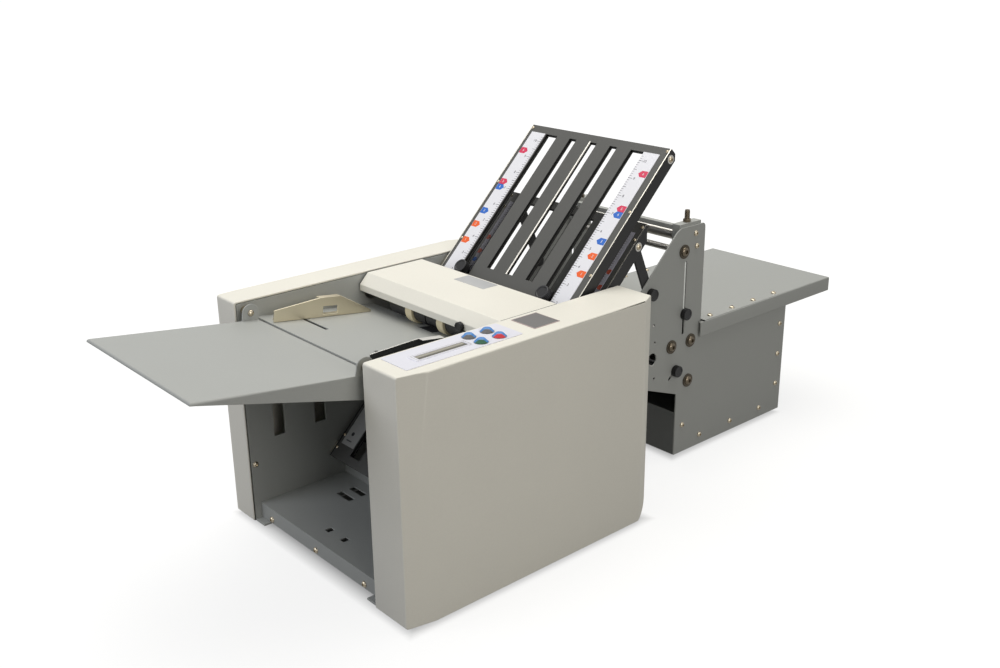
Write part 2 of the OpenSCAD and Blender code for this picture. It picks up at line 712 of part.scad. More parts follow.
cover_z = deck_z - cover_drop;
cover_gap = 1;
cover_pin_r = 2.5;
cover_pin_x = cover_x1 - 6;
cover_pin_z = cover_z - 6.5;
cover_y0 = y_near + cover_gap;
cover_y1 = y_far - cover_gap;
cover_knob_y = 115;
cover_knob_z = cover_z - cover_slope - cover_lip / 2;
cover_low = cover_z - cover_slope - cover_lip;
bend = cover_t * tan(22.5);
module top_cover() placed() color(cream) difference() {
  union() {
    sheet_y(cover_y0, cover_y1) polygon([
      [cover_x0, cover_low], [cover_x0, cover_z - cover_slope],
      [cover_x0 + cover_slope, cover_z], [cover_x1, cover_z], [cover_x1, cover_z - cover_t],
      [cover_x0 + cover_slope + bend, cover_z - cover_t],
      [cover_x0 + cover_t, cover_z - cover_slope - bend], [cover_x0 + cover_t, cover_low]]);
    both_sides(y_mid) {
      rod_y(cover_pin_x, cover_pin_z, 5, cover_y0, cover_y0 + 3);
      block([cover_pin_x - 5, cover_y0, cover_pin_z], [cover_pin_x + 5, cover_y0 + 3, cover_z - 1]);
      rod_y(cover_pin_x, cover_pin_z, cover_pin_r, y_near - frame_t, cover_y0 + 3);
    }
  }
  translate([cover_x0 - 1, cover_knob_y, cover_knob_z]) rotate([0, 90, 0])
    cylinder(r = 2 + run_gap, h = cover_t + 2);
}

// Knob on the cover's front lip, turned to lock the cover
module cover_knob() placed() color(black_part)
  translate([cover_x0 - 0.3, cover_knob_y, cover_knob_z]) rotate([0, -90, 0]) {
    cylinder(r = 5.2, h = 5);
    translate([0, 0, -cover_t - 0.2]) cylinder(r = 2, h = 5);
    for (a = [0:30:359]) rotate(a) translate([4.9, 0, 0]) cylinder(r = 0.8, h = 4.4, $fn = 16);
  }

// ---- fold rollers and drive ----------------------------------------------------

// Ball bearing with a flange on the inner side of its frame
module bearing(x, z, bore, y_in, side) {
  y0 = side < 0 ? y_in - bearing_w : y_in;
  difference() {
    union() {
      rod_y(x, z, bearing_r, y0, y0 + bearing_w);
      rod_y(x, z, bearing_r + 1, side < 0 ? y_in : y_in - 1, side < 0 ? y_in + 1 : y_in);
    }
    rod_y(x, z, bore + run_gap, y0 - 2, y0 + bearing_w + 2);
  }
}
module roller_bearings() placed() color(bright_steel) {
  for (c = rollers) {
    bearing(c.x, c.y, shaft_r, y_near, -1);
    bearing(c.x, c.y, shaft_r, y_far, 1);
  }
  feed_frame() {
    bearing(feed_x, feed_z, feed_shaft_r, y_near, -1);
    bearing(feed_x, feed_z, feed_shaft_r, y_far, 1);
  }
}

// Spur gear outline with straight flanks; half a pitch of turn when phase is 0.5
gear_add = roller_pitch / gear_teeth;
module gear_2d(phase) {
  step = 360 / gear_teeth;
  root_r = roller_pitch / 2 - 1.15 * gear_add;
  tip_r = roller_pitch / 2 + 0.9 * gear_add;
  polygon([for (i = [0:gear_teeth - 1], k = [
      [root_r, -0.36], [tip_r, -0.11], [tip_r, 0.11], [root_r, 0.36]])
    let (a = (i + phase + k[1]) * step) [k[0] * cos(a), k[0] * sin(a)]]);
}

// Steel fold roller: rubber coated drum, shaft and the gear behind the near frame
module fold_roller(i) {
  c = rollers[i];
  last_y = i == 1 ? pulley_y0 - 1 : gear_y0 - 1;
  rod_y(c.x, c.y, shaft_r, last_y, y_far + frame_t + 3);
  rod_y(c.x, c.y, roller_r, y_near + drum_end_gap, y_far - drum_end_gap);
  translate([c.x, gear_y1, c.y]) rotate([90, 0, 0]) difference() {
    linear_extrude(gear_w) gear_2d(i % 2 == 0 ? 0 : 0.5);
    translate([0, 0, -1]) cylinder(r = shaft_r + run_gap, h = gear_w + 2);
  }
}
module fold_roller_1() placed() color("#303236") fold_roller(0);
module fold_roller_2() placed() color("#303236") {
  fold_roller(1);
  difference() {
    rod_y(rollers[1].x, rollers[1].y, big_pulley_r, pulley_y0, pulley_y1);
    rod_y(rollers[1].x, rollers[1].y, shaft_r + run_gap, pulley_y0 - 1, pulley_y1 + 1);
  }
}
module fold_roller_3() placed() color("#303236") fold_roller(2);
module fold_roller_4() placed() color("#303236") fold_roller(3);
module fold_roller_5() placed() color("#303236") fold_roller(4);
module fold_roller_6() placed() color("#303236") fold_roller(5);

module drive_motor() placed() color("#26282C") {
  difference() {
    rod_y(motor_x, motor_z, motor_r, y_near + 5, y_near + 5 + motor_l);
    rod_y(motor_x, motor_z, motor_shaft_r + run_gap, y_near, y_near + 40);
  }
  difference() {
    rod_y(motor_x, motor_z, motor_r * 0.5, y_near, y_near + 5.5);
    rod_y(motor_x, motor_z, motor_shaft_r + run_gap, y_near - 1, y_near + 40);
  }
}

module motor_pulley() placed() color(bright_steel) {
  rod_y(motor_x, motor_z, motor_shaft_r, pulley_y0 - 1, y_near + 36);
  rod_y(motor_x, motor_z, motor_pulley_r, pulley_y0, pulley_y1);
}

// Belt round both pulleys, a constant gap off them; grow widens the loop
belt_a = [motor_x, motor_z];
belt_b = rollers[1];
module belt_loop(grow) {
  d = belt_b - belt_a;
  span = norm(d);
  lean = asin((big_pulley_r - motor_pulley_r) / span);
  turn = atan2(d.y, d.x);
  ra = motor_pulley_r + clear + grow;
  rb = big_pulley_r + clear + grow;
  wrap_a = (180 - 2 * lean) / 16;
  wrap_b = (180 + 2 * lean) / 16;
  polygon(concat(
    [for (i = [0:16]) let (a = turn + 90 + lean + i * wrap_a) belt_a + ra * [cos(a), sin(a)]],
    [for (i = [0:16]) let (a = turn - 90 - lean + i * wrap_b) belt_b + rb * [cos(a), sin(a)]]));
}
module drive_belt() placed() color(black_part) sheet_y(pulley_y0 + 1, pulley_y1 - 1) difference() {
  belt_loop(belt_t);
  belt_loop(0.1);
}

// ---- fold plates ---------------------------------------------------------------

// Pair of slotted sheets joined by a strip at their free end; the outer slots reach
// down past the fold stop, the three inner ones start higher
module slotted_sheets(l, outer_u, inner_u) {
  wi = plate_w - 2 * sheet_t;
  difference() {
    for (z0 = [paper_gap / 2, -half_stack]) translate([0, -wi / 2, z0]) cube([l, wi, sheet_t]);
    for (i = [0:4]) {
      u0 = i % 4 == 0 ? outer_u : inner_u;
      translate([u0, slot_mid[i] - slot_w[i] / 2, -half_stack - 1])
        cube([l - slot_end - u0, slot_w[i], 2 * half_stack + 2]);
    }
  }
  translate([l - sheet_t, -wi / 2, -half_stack]) cube([sheet_t, wi, 2 * half_stack]);
}
slot_rise = 12;
module fold_plate_1() placed() color(dark_plate) upper_plate(plate1_mouth)
  slotted_sheets(plate1_l, stop_u1 - slot_lead, stop_u1 + slot_rise);
module fold_plate_3() placed() color(dark_plate) upper_plate(plate3_mouth)
  slotted_sheets(plate3_l, stop_u3 - slot_lead, stop_u3 + slot_rise);
module fold_plate_2() placed() color(dark_plate) lower_plate(plate2_mouth)
  slotted_sheets(plate2_l, stop_u2 - slot_lead, stop_u2 + slot_rise);
module fold_plate_4() placed() color(dark_plate) lower_plate(plate4_mouth)
  slotted_sheets(plate4_l, stop_u4 - slot_lead, stop_u4 + slot_rise);

// Side channels that clamp the edges of the sheets; cut is the bevel of their free end
channel_u0 = 22;
channel_foot = (plate_w - rear_w) / 2 + rear_t + strut_t;
short_cut = 6;
long_cut = 15;
module side_channels(l, cut) both_sides(0) {
  sheet_y(-plate_w / 2, sheet_t - plate_w / 2) polygon([
    [channel_u0, channel_low], [l - cut, channel_low], [l, channel_low + cut],
    [l, channel_low + channel_d], [channel_u0, channel_low + channel_d]]);
  translate([channel_u0, -plate_w / 2, channel_low]) cube([l - cut - channel_u0, channel_foot, sheet_t]);
}
module plate_channels() placed() color("#262624") {
  upper_plate(plate1_mouth) side_channels(plate1_l, short_cut);
  upper_plate(plate3_mouth) side_channels(plate3_l, long_cut);
  lower_front(plate2_mouth) side_channels(plate2_l, short_cut);
  lower_front(plate4_mouth) side_channels(plate4_l, short_cut);
}

// White rulers: wide ones on the first upper and lower plates, narrow ones on the second upper
pointer_w = 16;
ruler_t = 0.8;
ruler1_near_in = 11;
ruler1_far_in = 6.8;
ruler1_w = plate_w / 2 - ruler1_near_in + slot_mid[0] - pointer_w / 2 - 3;
ruler3_in = 8.7;
ruler3_w = 7.5;
ruler3_end = slot_end + 4;
ruler2_end = slot_end + 9;
module ruler(y, w, u1) translate([channel_u0 + 8, y, half_stack]) cube([u1 - channel_u0 - 8, w, ruler_t]);
module fold_rulers() placed() color("#F4F4F8") {
  upper_plate(plate1_mouth) {
    ruler(ruler1_near_in - plate_w / 2, ruler1_w, plate1_l - slot_end);
    ruler(plate_w / 2 - ruler1_far_in - ruler1_w, ruler1_w, plate1_l - slot_end);
  }
  upper_plate(plate3_mouth) both_sides(0) ruler(ruler3_in - plate_w / 2, ruler3_w, plate3_l - ruler3_end);
  lower_front(plate2_mouth) both_sides(0)
    ruler(ruler1_far_in - plate_w / 2, ruler1_w, plate2_l - ruler2_end);
}

// Pads between the side frames and the channels of the plates
seat_l = 16;
seat_u0 = channel_u0 + 2;
seats1_u = [seat_u0, seat_u0 + 22];
seats3_u = [channel_u0, channel_u0 + 18];
lower_seat_end = 20;
module seat_pads(places) both_sides(0) for (u = places)
  translate([u, -inner_w / 2, channel_low + 1]) cube([seat_l, seat_w, channel_d - 3]);
module plate_seats() placed() color(bright_steel) {
  upper_plate(plate1_mouth) seat_pads(seats1_u);
  upper_plate(plate3_mouth) seat_pads(seats3_u);
  lower_front(plate2_mouth) seat_pads([seat_u0, plate2_l - lower_seat_end]);
  lower_front(plate4_mouth) seat_pads([seat_u0, plate4_l - lower_seat_end]);
}

// Fold stop: strip in the paper gap, with posts that reach out through the outer slots
// and a pointer on each post; u is the place of the posts
outer_slots = [0, 4];
post_r = 2.5;
pointer_t = 2.5;
slot_lead = 5;
module fold_stop(u) {
  strip_t = paper_gap - 2 * clear;
  translate([u - 3, slot_mid[0] - 6, -strip_t / 2]) cube([6, slot_mid[4] - slot_mid[0] + 12, strip_t]);
  for (i = outer_slots) {
    translate([u, slot_mid[i], 0]) cylinder(r = post_r, h = half_stack + clear + pointer_t + 4);
    translate([u - 6, slot_mid[i] - pointer_w / 2, half_stack + clear]) cube([14, pointer_w, pointer_t]);
  }
}
module stop_knob(u) for (i = outer_slots)
  translate([u, slot_mid[i], half_stack + clear + pointer_t]) difference() {
    union() {
      cylinder(r = stop_knob_r - 0.6, h = 8);
      for (a = [0:30:359]) rotate(a) translate([stop_knob_r - 1.2, 0, 0]) cylinder(r = 1.2, h = 7.2, $fn = 16);
    }
    translate([0, 0, 7]) cylinder(r = stop_knob_r - 3, h = 2);
    translate([0, 0, -1]) cylinder(r = post_r + run_gap, h = 5.2);
  }
module plate_stop_1() placed() color(black_part) upper_plate(plate1_mouth) fold_stop(stop_u1);
module stop_knobs_1() placed() color(black_part) upper_plate(plate1_mouth) stop_knob(stop_u1);
module plate_stop_3() placed() color(black_part) upper_plate(plate3_mouth) fold_stop(stop_u3);
module plate_stop_2() placed() color(black_part) lower_plate(plate2_mouth) fold_stop(stop_u2);
module plate_stop_4() placed() color(black_part) lower_plate(plate4_mouth) fold_stop(stop_u4);

// ---- delivery unit -------------------------------------------------------------

// Side plate with its fin, arm, slots and holes; inward gives the way of its top flange
fin_round = 5;
top_flange_w = 14;
module fin_2d() difference() {
  union() {
    polygon([
      [box_x0, rear_foot_h], [box_x1, rear_foot_h], [box_x1, plate_top_z], [fin_x1, plate_top_z],
      [fin_x1, fin_z - fin_round], [fin_x1 - fin_round, fin_z], [fin_slope + fin_z + 5, fin_z],
      [fin_slope + fin_z - 3, fin_z - 4],
      [fin_slope + arm_z1, arm_z1], [arm_x0, arm_z1], [arm_x0, arm_z0], [body_l, arm_z0],
      [arm_low_x, arm_low_z], [box_x0, shoulder_z]]);
    translate([fin_x1 - fin_round, fin_z - fin_round]) circle(fin_round);
  }
  slot_2d([slot_x, slot_z0], [slot_x, slot_z1], slot_r);
  slot_2d([deflector_x - deflector_reach * 0.7, deflector_z - deflector_reach * 0.7],
          [deflector_x + 4, deflector_z + 4], slot_r);
  for (c = rod_ends) translate(c) circle(rod_r * 0.6);
  translate(strut_foot) circle(strut_pin_r + run_gap);
  for (c = [[-49, 202], [-46, 178.5], [-45, 129.5]]) translate([box_x0 + c.x, c.y]) circle(1.8);
  translate([box_x0 - 50.5, 156.5]) circle(8.5);
}
module rear_plate() {
  sheet_y(ry0, ry0 + rear_t) fin_2d();
  block([fin_x1 + 10, ry0, plate_top_z - rear_t], [box_x1 - 6, ry0 + top_flange_w, plate_top_z]);
}
module rear_near_plate() placed() color(grey_paint) rear_plate();
module rear_far_plate() placed() color(grey_paint)
  translate([0, 2 * y_mid, 0]) mirror([0, 1, 0]) rear_plate();

// Front panel, floor and back of the box, folded from one sheet
front_panel_z = rear_foot_h + 61;
box_side_h = 30;
module rear_box_tray() placed() color("#50524F") {
  y0 = ry0 + rear_t;
  y1 = ry1 - rear_t;
  block([box_x0, y0, rear_foot_h], [box_x1, y1, rear_foot_h + sheet_t]);
  block([box_x0, y0, rear_foot_h], [box_x0 + sheet_t, y1, front_panel_z]);
  block([box_x1 - sheet_t, y0, rear_foot_h], [box_x1, y1, plate_top_z - rear_t - 0.2]);
  both_sides(y_mid) block([box_x0, y0, rear_foot_h], [box_x1, y0 + sheet_t, rear_foot_h + box_side_h]);
}

// Brackets that join the arms of the side plates to the side frames
bracket_x0 = rollers[5].x + roller_r + 1.5;
bracket_t = 4;
module joining_brackets() placed() color(grey_paint) both_sides(y_mid) {
  block([arm_x0, y_near, arm_z0 + 2], [arm_x0 + bracket_t, ry0, arm_z1 - 2]);
  block([bracket_x0, y_near, arm_z0 + 2], [arm_x0 + 1, y_near + frame_t, arm_z1 - 2]);
}

// Delivery table with folded lips on three sides, notches round the fins and a relief
// hole at each front corner
relief_r = 2;
module delivery_table() placed() color(grey_paint) difference() {
  union() {
    block([table_x0, table_y0, plate_top_z], [table_x1, table_y1, table_z]);
    for (y = [table_y0, table_y1 - sheet_t])
      block([table_x0, y, table_z - table_lip], [table_x1, y + sheet_t, table_z]);
    block([table_x1 - sheet_t, table_y0, table_z - table_lip], [table_x1, table_y1, table_z]);
  }
  both_sides(y_mid) {
    block([table_x0 - 1, ry0 - 2, table_z - 3], [fin_x1 + 0.5, ry0 + rear_t + 0.5, table_z + 1]);
    translate([table_x0 + 8, table_y0 + relief_r + 0.5, table_z - 3]) cylinder(r = relief_r, h = 4);
  }
}

// Fixed cross rods between the side plates, each clamped by two large screws
module rear_rods() placed() color(bright_steel) {
  for (c = rod_ends) rod_y(c.x, c.y, rod_r, ry0 + rear_t, ry1 - rear_t);
}
dome_r = 8;
module shaft_screws() placed() color(bright_steel) both_sides(y_mid) for (c = rod_ends)
  translate([c.x, ry0, c.y]) rotate([90, 0, 0]) {
    cylinder(r = dome_r, h = 1.2);
    rotate_extrude() intersection() {
      translate([0, -6]) circle(9.6);
      square([dome_r - 2, 4]);
    }
  }

// Tension blocks inside the fin tips, with their upright adjusting screws
block_t = 12;
module tension_blocks() placed() color("#A9ABA8") {
  both_sides(y_mid) {
    y0 = ry0 + rear_t;
    difference() {
      block([block_x0, y0, press_z - 9], [block_x1, y0 + block_t, fin_z + 4]);
      rod_y(press_x, press_z, press_pin_r + run_gap, y0 - 1, y0 + block_t + 1);
    }
    translate([(block_x0 + block_x1) / 2, y0 + block_t / 2, fin_z + 3]) cylinder(r = 3, h = 17);
  }
  block([block_x0 + 1, ry0 + rear_t + block_t, fin_z - 4], [block_x0 + 9, ry1 - rear_t - block_t, fin_z + 2]);
}
module press_roller() placed() color(bright_steel) {
  rod_y(press_x, press_z, press_pin_r, ry0 + rear_t + 1, ry1 - rear_t - 1);
  rod_y(press_x, press_z, press_r, ry0 + rear_t + block_t + 1, ry1 - rear_t - block_t - 1);
}

// Round clamp knobs on the outer faces of the side plates
module clamp_knobs(x, z) both_sides(y_mid) translate([x, ry0 - clear, z]) rotate([90, 0, 0]) {
  cylinder(r = knob_r, h = knob_h);
  for (a = [0:30:359]) rotate(a) translate([knob_r - 0.3, 0, 0]) cylinder(r = 1, h = knob_h - 0.8, $fn = 16);
}

// Rod across the unit, thinner where it passes the slots, with its two clamp knobs
bar_r = 4;
module clamp_rod(x, z) {
  rod_y(x, z, slot_r - 0.2, ry0 - 3, ry1 + 3);
  rod_y(x, z, bar_r, ry0 + rear_t + clear, ry1 - rear_t - clear);
  clamp_knobs(x, z);
}

// Height bar that keeps the sheets down, clamped in the upright slots
module height_bar() placed() color(black_part) clamp_rod(slot_x, bar_z);

// Deflector under the exit, clamped in the slanted slots
module exit_deflector() placed() color(black_part) clamp_rod(deflector_x, deflector_z);

// Struts from the second upper plate to the fins, each with a round knob
strut_r = 7;
strut_end_in = 18;
strut_end = plate3_mouth + (plate3_l - strut_end_in) * [cos(45), sin(45)];
strut_top = strut_end - channel_low * [sin(45), -cos(45)];
module support_struts() placed() color(black_part) both_sides(y_mid) {
  sheet_y(ry0 + rear_t, ry0 + rear_t + strut_t) difference() {
    slot_2d(strut_foot, strut_top, strut_r);
    translate(plate3_mouth) rotate(45) translate([0, channel_low])
      square([plate3_l + 4 * strut_r, 4 * strut_r]);
  }
  translate([strut_foot.x, ry0, strut_foot.y]) rotate([90, 0, 0]) cylinder(r = knob_r, h = knob_h);
  rod_y(strut_foot.x, strut_foot.y, strut_pin_r, ry0 - 1, ry0 + rear_t + 1);
}

// ---- output --------------------------------------------------------------------

base_plate();
near_side_frame();
far_side_frame();
near_housing();
far_housing();
rubber_feet();
button_screws();
control_panel();
lcd_window();
circuit_board();
start_key();
stop_key();
plus_key();
minus_key();
power_inlet();
power_switch();
feed_tray();
tray_pivots();
feed_bed();
separator_pad();
near_guide();
far_guide();
feed_roller();
feed_tyres();
top_cover();
cover_knob();
roller_bearings();
fold_roller_1();
fold_roller_2();
fold_roller_3();
fold_roller_4();
fold_roller_5();
fold_roller_6();
drive_motor();
motor_pulley();
drive_belt();
fold_plate_1();
fold_plate_2();
fold_plate_3();
fold_plate_4();
plate_channels();
fold_rulers();
plate_seats();
plate_stop_1();
plate_stop_2();
plate_stop_3();
plate_stop_4();
stop_knobs_1();
rear_near_plate();
rear_far_plate();
rear_box_tray();
joining_brackets();
delivery_table();
rear_rods();
shaft_screws();
press_roller();
tension_blocks();
height_bar();
exit_deflector();
support_struts();
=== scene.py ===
import json
from math import cos, radians, sin

import bpy
from mathutils import Matrix, Vector

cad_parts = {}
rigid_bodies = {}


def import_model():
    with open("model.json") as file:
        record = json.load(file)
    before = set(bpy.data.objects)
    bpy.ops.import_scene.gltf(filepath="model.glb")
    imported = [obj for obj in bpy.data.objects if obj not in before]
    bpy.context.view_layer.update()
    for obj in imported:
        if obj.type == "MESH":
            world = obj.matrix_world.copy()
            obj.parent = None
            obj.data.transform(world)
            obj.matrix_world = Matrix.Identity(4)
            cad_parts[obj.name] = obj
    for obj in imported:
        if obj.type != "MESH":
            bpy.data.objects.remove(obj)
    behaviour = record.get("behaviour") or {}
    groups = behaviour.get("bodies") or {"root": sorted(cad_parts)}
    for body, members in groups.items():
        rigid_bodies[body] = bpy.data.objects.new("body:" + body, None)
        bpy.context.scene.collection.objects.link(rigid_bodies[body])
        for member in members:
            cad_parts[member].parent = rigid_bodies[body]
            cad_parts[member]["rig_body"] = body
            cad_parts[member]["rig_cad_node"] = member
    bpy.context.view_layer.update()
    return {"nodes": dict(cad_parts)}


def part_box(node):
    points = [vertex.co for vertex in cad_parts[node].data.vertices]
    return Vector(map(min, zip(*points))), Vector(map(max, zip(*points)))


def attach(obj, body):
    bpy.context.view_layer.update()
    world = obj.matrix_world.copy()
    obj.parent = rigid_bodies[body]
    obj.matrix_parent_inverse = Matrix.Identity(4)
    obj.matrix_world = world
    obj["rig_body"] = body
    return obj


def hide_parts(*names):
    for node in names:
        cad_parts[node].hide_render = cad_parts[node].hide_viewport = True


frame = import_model()
bpy.ops.object.select_all(action="DESELECT")
nodes = frame["nodes"]
mm = 0.001

# ---- Studio ---------------------------------------------------------------------
# A white board under the machine and a white room round it, with one large soft box
# above. The camera stands in front of the feed tray on the operator's side.

camera_place = Vector((-0.9040, -0.9777, 0.6832))
camera_yaw = 48.837
camera_pitch = 20.016
camera_roll = -0.64
camera_lens = 41.13
room_white = "#FFFFFF"
room_fill = 0.12
room_gloss = 0.7
board_bounce = "#8C8C8A"
board_shade = "#939391"
board_glow = 0.8
board_gloss = 0.3


def linear(code, alpha=1.0):
    """The linear colour of an sRGB hex code."""
    parts = [int(code[i:i + 2], 16) / 255 for i in (1, 3, 5)]
    return (*[p / 12.92 if p <= 0.04045 else ((p + 0.055) / 1.055) ** 2.4 for p in parts], alpha)


def add(tree, kind, inputs=None, **settings):
    """A new shader node with its settings; an input is a value or a (node, output) pair."""
    node = tree.nodes.new("ShaderNode" + kind)
    for key, value in settings.items():
        setattr(node, key, value)
    for key, value in (inputs or {}).items():
        if isinstance(value, tuple) and isinstance(value[0], bpy.types.Node):
            tree.links.new(value[0].outputs[value[1]], node.inputs[key])
        else:
            node.inputs[key].default_value = value
    return node


def camera_turn(yaw, pitch, roll):
    """The rotation of a camera that looks along yaw from +X, down by pitch."""
    ahead = Vector((cos(yaw) * cos(pitch), sin(yaw) * cos(pitch), -sin(pitch)))
    right = Vector((sin(yaw), -cos(yaw), 0))
    up = right.cross(ahead)
    right_rolled = cos(roll) * right + sin(roll) * up
    up_rolled = cos(roll) * up - sin(roll) * right
    return Matrix((right_rolled, up_rolled, -ahead)).transposed()


bpy.ops.object.camera_add(location=camera_place)
camera = bpy.context.object
turn = camera_turn(radians(camera_yaw), radians(camera_pitch), radians(camera_roll))
camera.rotation_euler = turn.to_euler()
camera.data.lens = camera_lens
camera.data.sensor_width = 36
camera.data.clip_start = 0.01
bpy.context.scene.camera = camera
bpy.context.scene.view_settings.view_transform = "Standard"


def soft_lamp(place, target, size, watts, tone):
    """A large soft box that looks at the target."""
    bpy.ops.object.light_add(type="AREA", location=place)
    lamp = bpy.context.object
    lamp.data.shape = "RECTANGLE"
    lamp.data.size = size[0]
    lamp.data.size_y = size[1]
    lamp.data.energy = watts
    lamp.data.color = linear(tone)[:3]
    lamp.rotation_euler = (Vector(target) - Vector(place)).to_track_quat("-Z", "Y").to_euler()


soft_lamp((0.25, 0.3, 2.3), (0, 0, 0.2), (2.4, 2.0), 42, "#FFFDF8")
soft_lamp((-1.9, 0.6, 1.2), (-0.2, 0, 0.15), (1.2, 1.0), 12, "#F0F4FF")
soft_lamp((-0.55, -2.1, 1.0), (-0.2, 0, 0.15), (1.2, 1.0), 13, "#FBF8F4")

bpy.ops.mesh.primitive_plane_add(size=60, location=(0, 0, -0.0004))
floor = bpy.context.object
floor.name = "studio_floor"
board = bpy.data.materials.new("matt_white_board")
board.use_nodes = True
tree = board.node_tree
tree.nodes.clear()
output = add(tree, "OutputMaterial")
path = add(tree, "LightPath")
seen = add(tree, "Math", {0: (path, "Is Camera Ray"), 1: (path, "Is Glossy Ray")}, operation="MAXIMUM")
shade = add(tree, "Mix", {0: (seen, 0), 6: linear(board_bounce), 7: linear(board_shade)}, data_type="RGBA")
lit = add(tree, "BsdfDiffuse", {"Color": (shade, 2)})
place = add(tree, "TexCoord")
reach = add(tree, "VectorMath", {0: (place, "Object")}, operation="LENGTH")
open_board = add(tree, "MapRange", {"Value": (reach, "Value"), 1: 0.5, 2: 2.6, 3: board_glow, 4: 1.0})
axes = add(tree, "SeparateXYZ", {0: (place, "Object")})
clear_of = (open_board, 0)
# The board's camera glow is taken away under the machine and fades back in just past its footprints: a
# painted shadow.
shadow_footprints = ((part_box("near_housing")[0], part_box("far_housing")[1]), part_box("rear_box_tray"))
for low, high in shadow_footprints:
    out = []
    for axis in (0, 1):
        off = add(tree, "Math", {0: (axes, axis), 1: (low[axis] + high[axis]) / 2}, operation="SUBTRACT")
        off = add(tree, "Math", {0: (off, 0)}, operation="ABSOLUTE")
        out.append(add(tree, "Math", {0: (off, 0), 1: (high[axis] - low[axis]) / 2}, operation="SUBTRACT"))
    away = add(tree, "Math", {0: (out[0], 0), 1: (out[1], 0)}, operation="MAXIMUM")
    painted_shadow_fade = add(tree, "MapRange", {"Value": (away, 0), 1: -0.03, 2: 0.006})
    clear_of = (add(tree, "Math", {0: clear_of, 1: (painted_shadow_fade, 0)}, operation="MULTIPLY"), 0)
level = add(tree, "Math", {0: clear_of, 1: (path, "Is Camera Ray")}, operation="MULTIPLY")
gloss = add(tree, "Math", {0: (path, "Is Glossy Ray"), 1: board_gloss}, operation="MULTIPLY")
level = add(tree, "Math", {0: (level, 0), 1: (gloss, 0)}, operation="MAXIMUM")
glow = add(tree, "Emission", {"Color": linear(room_white), "Strength": (level, 0)})
whole = add(tree, "AddShader", {0: (lit, 0), 1: (glow, 0)})
tree.links.new(whole.outputs[0], output.inputs["Surface"])
board.cycles.emission_sampling = "NONE"
floor.data.materials.append(board)

room = bpy.data.worlds.new("white_room")
bpy.context.scene.world = room
room.use_nodes = True
tree = room.node_tree
tree.nodes.clear()
output = add(tree, "OutputWorld")
path = add(tree, "LightPath")
seen = add(tree, "Math", {0: (path, "Is Camera Ray"), 1: (path, "Is Transmission Ray")}, operation="MAXIMUM")
strength = add(tree, "Mix", {0: (path, "Is Glossy Ray"), 2: room_fill, 3: room_gloss})
strength = add(tree, "Mix", {0: (seen, 0), 2: (strength, 0), 3: 1.0})
glow = add(tree, "Background", {"Color": linear(room_white), "Strength": (strength, 0)})
tree.links.new(glow.outputs[0], output.inputs["Surface"])

# ---- Housings -------------------------------------------------------------------
# Two closed side housings of folded sheet steel in cream powder coat. The folds have a
# small radius and the coat a fine orange peel. They cover the side frames.

cream_tone = "#F4F1E5"
fold_radius = 1.1


def powder_coat(name, tone, rough=0.42, peel_mm=1.6, depth=0.16, fleck=0.03):
    """Baked powder paint on steel: soft gloss, fine orange peel and faint handling marks."""
    coat = bpy.data.materials.new(name)
    coat.use_nodes = True
    tree = coat.node_tree
    shader = tree.nodes["Principled BSDF"]
    place = add(tree, "TexCoord")
    peel = add(tree, "TexNoise", {"Vector": (place, "Object"), "Scale": 1000 / peel_mm, "Detail": 2.0})
    marks = add(tree, "TexNoise", {"Vector": (place, "Object"), "Scale": 12.0, "Detail": 4.0})
    dull = add(tree, "MapRange", {"Value": (marks, "Fac"), 3: rough - 0.06, 4: rough + 0.08})
    grain = add(tree, "MapRange", {"Value": (peel, "Fac"), 3: 1 - fleck, 4: 1 + fleck})
    cloud = add(tree, "MapRange", {"Value": (marks, "Fac"), 3: 0.975, 4: 1.025})
    both = add(tree, "Math", {0: (grain, 0), 1: (cloud, 0)}, operation="MULTIPLY")
    tint = add(tree, "HueSaturation", {"Color": linear(tone), "Value": (both, 0)})
    bump = add(tree, "Bump", {"Strength": depth, "Distance": 0.0003, "Height": (peel, "Fac")})
    tree.links.new(tint.outputs[0], shader.inputs["Base Color"])
    tree.links.new(dull.outputs[0], shader.inputs["Roughness"])
    tree.links.new(bump.outputs[0], shader.inputs["Normal"])
    shader.inputs["IOR"].default_value = 1.5
    return coat


def only(*chosen):
    """Selects these objects alone and makes the first one active."""
    bpy.ops.object.select_all(action="DESELECT")
    for piece in chosen:
        piece.select_set(True)
    bpy.context.view_layer.objects.active = chosen[0]


def bench_copy(node, name):
    """A merged copy of a construction solid, with its flat faces whole again."""
    only(nodes[node])
    bpy.ops.object.duplicate()
    piece = bpy.context.object
    piece.parent = None
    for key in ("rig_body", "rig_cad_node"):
        del piece[key]
    piece.name = name
    piece.data.name = name
    piece.data.materials.clear()
    bpy.ops.object.mode_set(mode="EDIT")
    bpy.ops.mesh.select_all(action="SELECT")
    bpy.ops.mesh.remove_doubles(threshold=0.002 * mm)
    bpy.ops.mesh.dissolve_limited(angle_limit=radians(0.3))
    bpy.ops.object.mode_set(mode="OBJECT")
    bpy.ops.mesh.customdata_custom_splitnormals_clear()
    return piece


def soften(piece, width, segments=2, angle=32):
    """Rounds the piece's sharp edges by width millimetres and shades it smooth."""
    only(piece)
    bpy.ops.object.shade_smooth_by_angle(angle=radians(35))
    bevel = piece.modifiers.new("soft_edges", "BEVEL")
    bevel.width = width * mm
    bevel.segments = segments
    bevel.angle_limit = radians(angle)
    bevel.use_clamp_overlap = False
    bevel.harden_normals = True
    bpy.ops.object.modifier_apply(modifier="soft_edges")


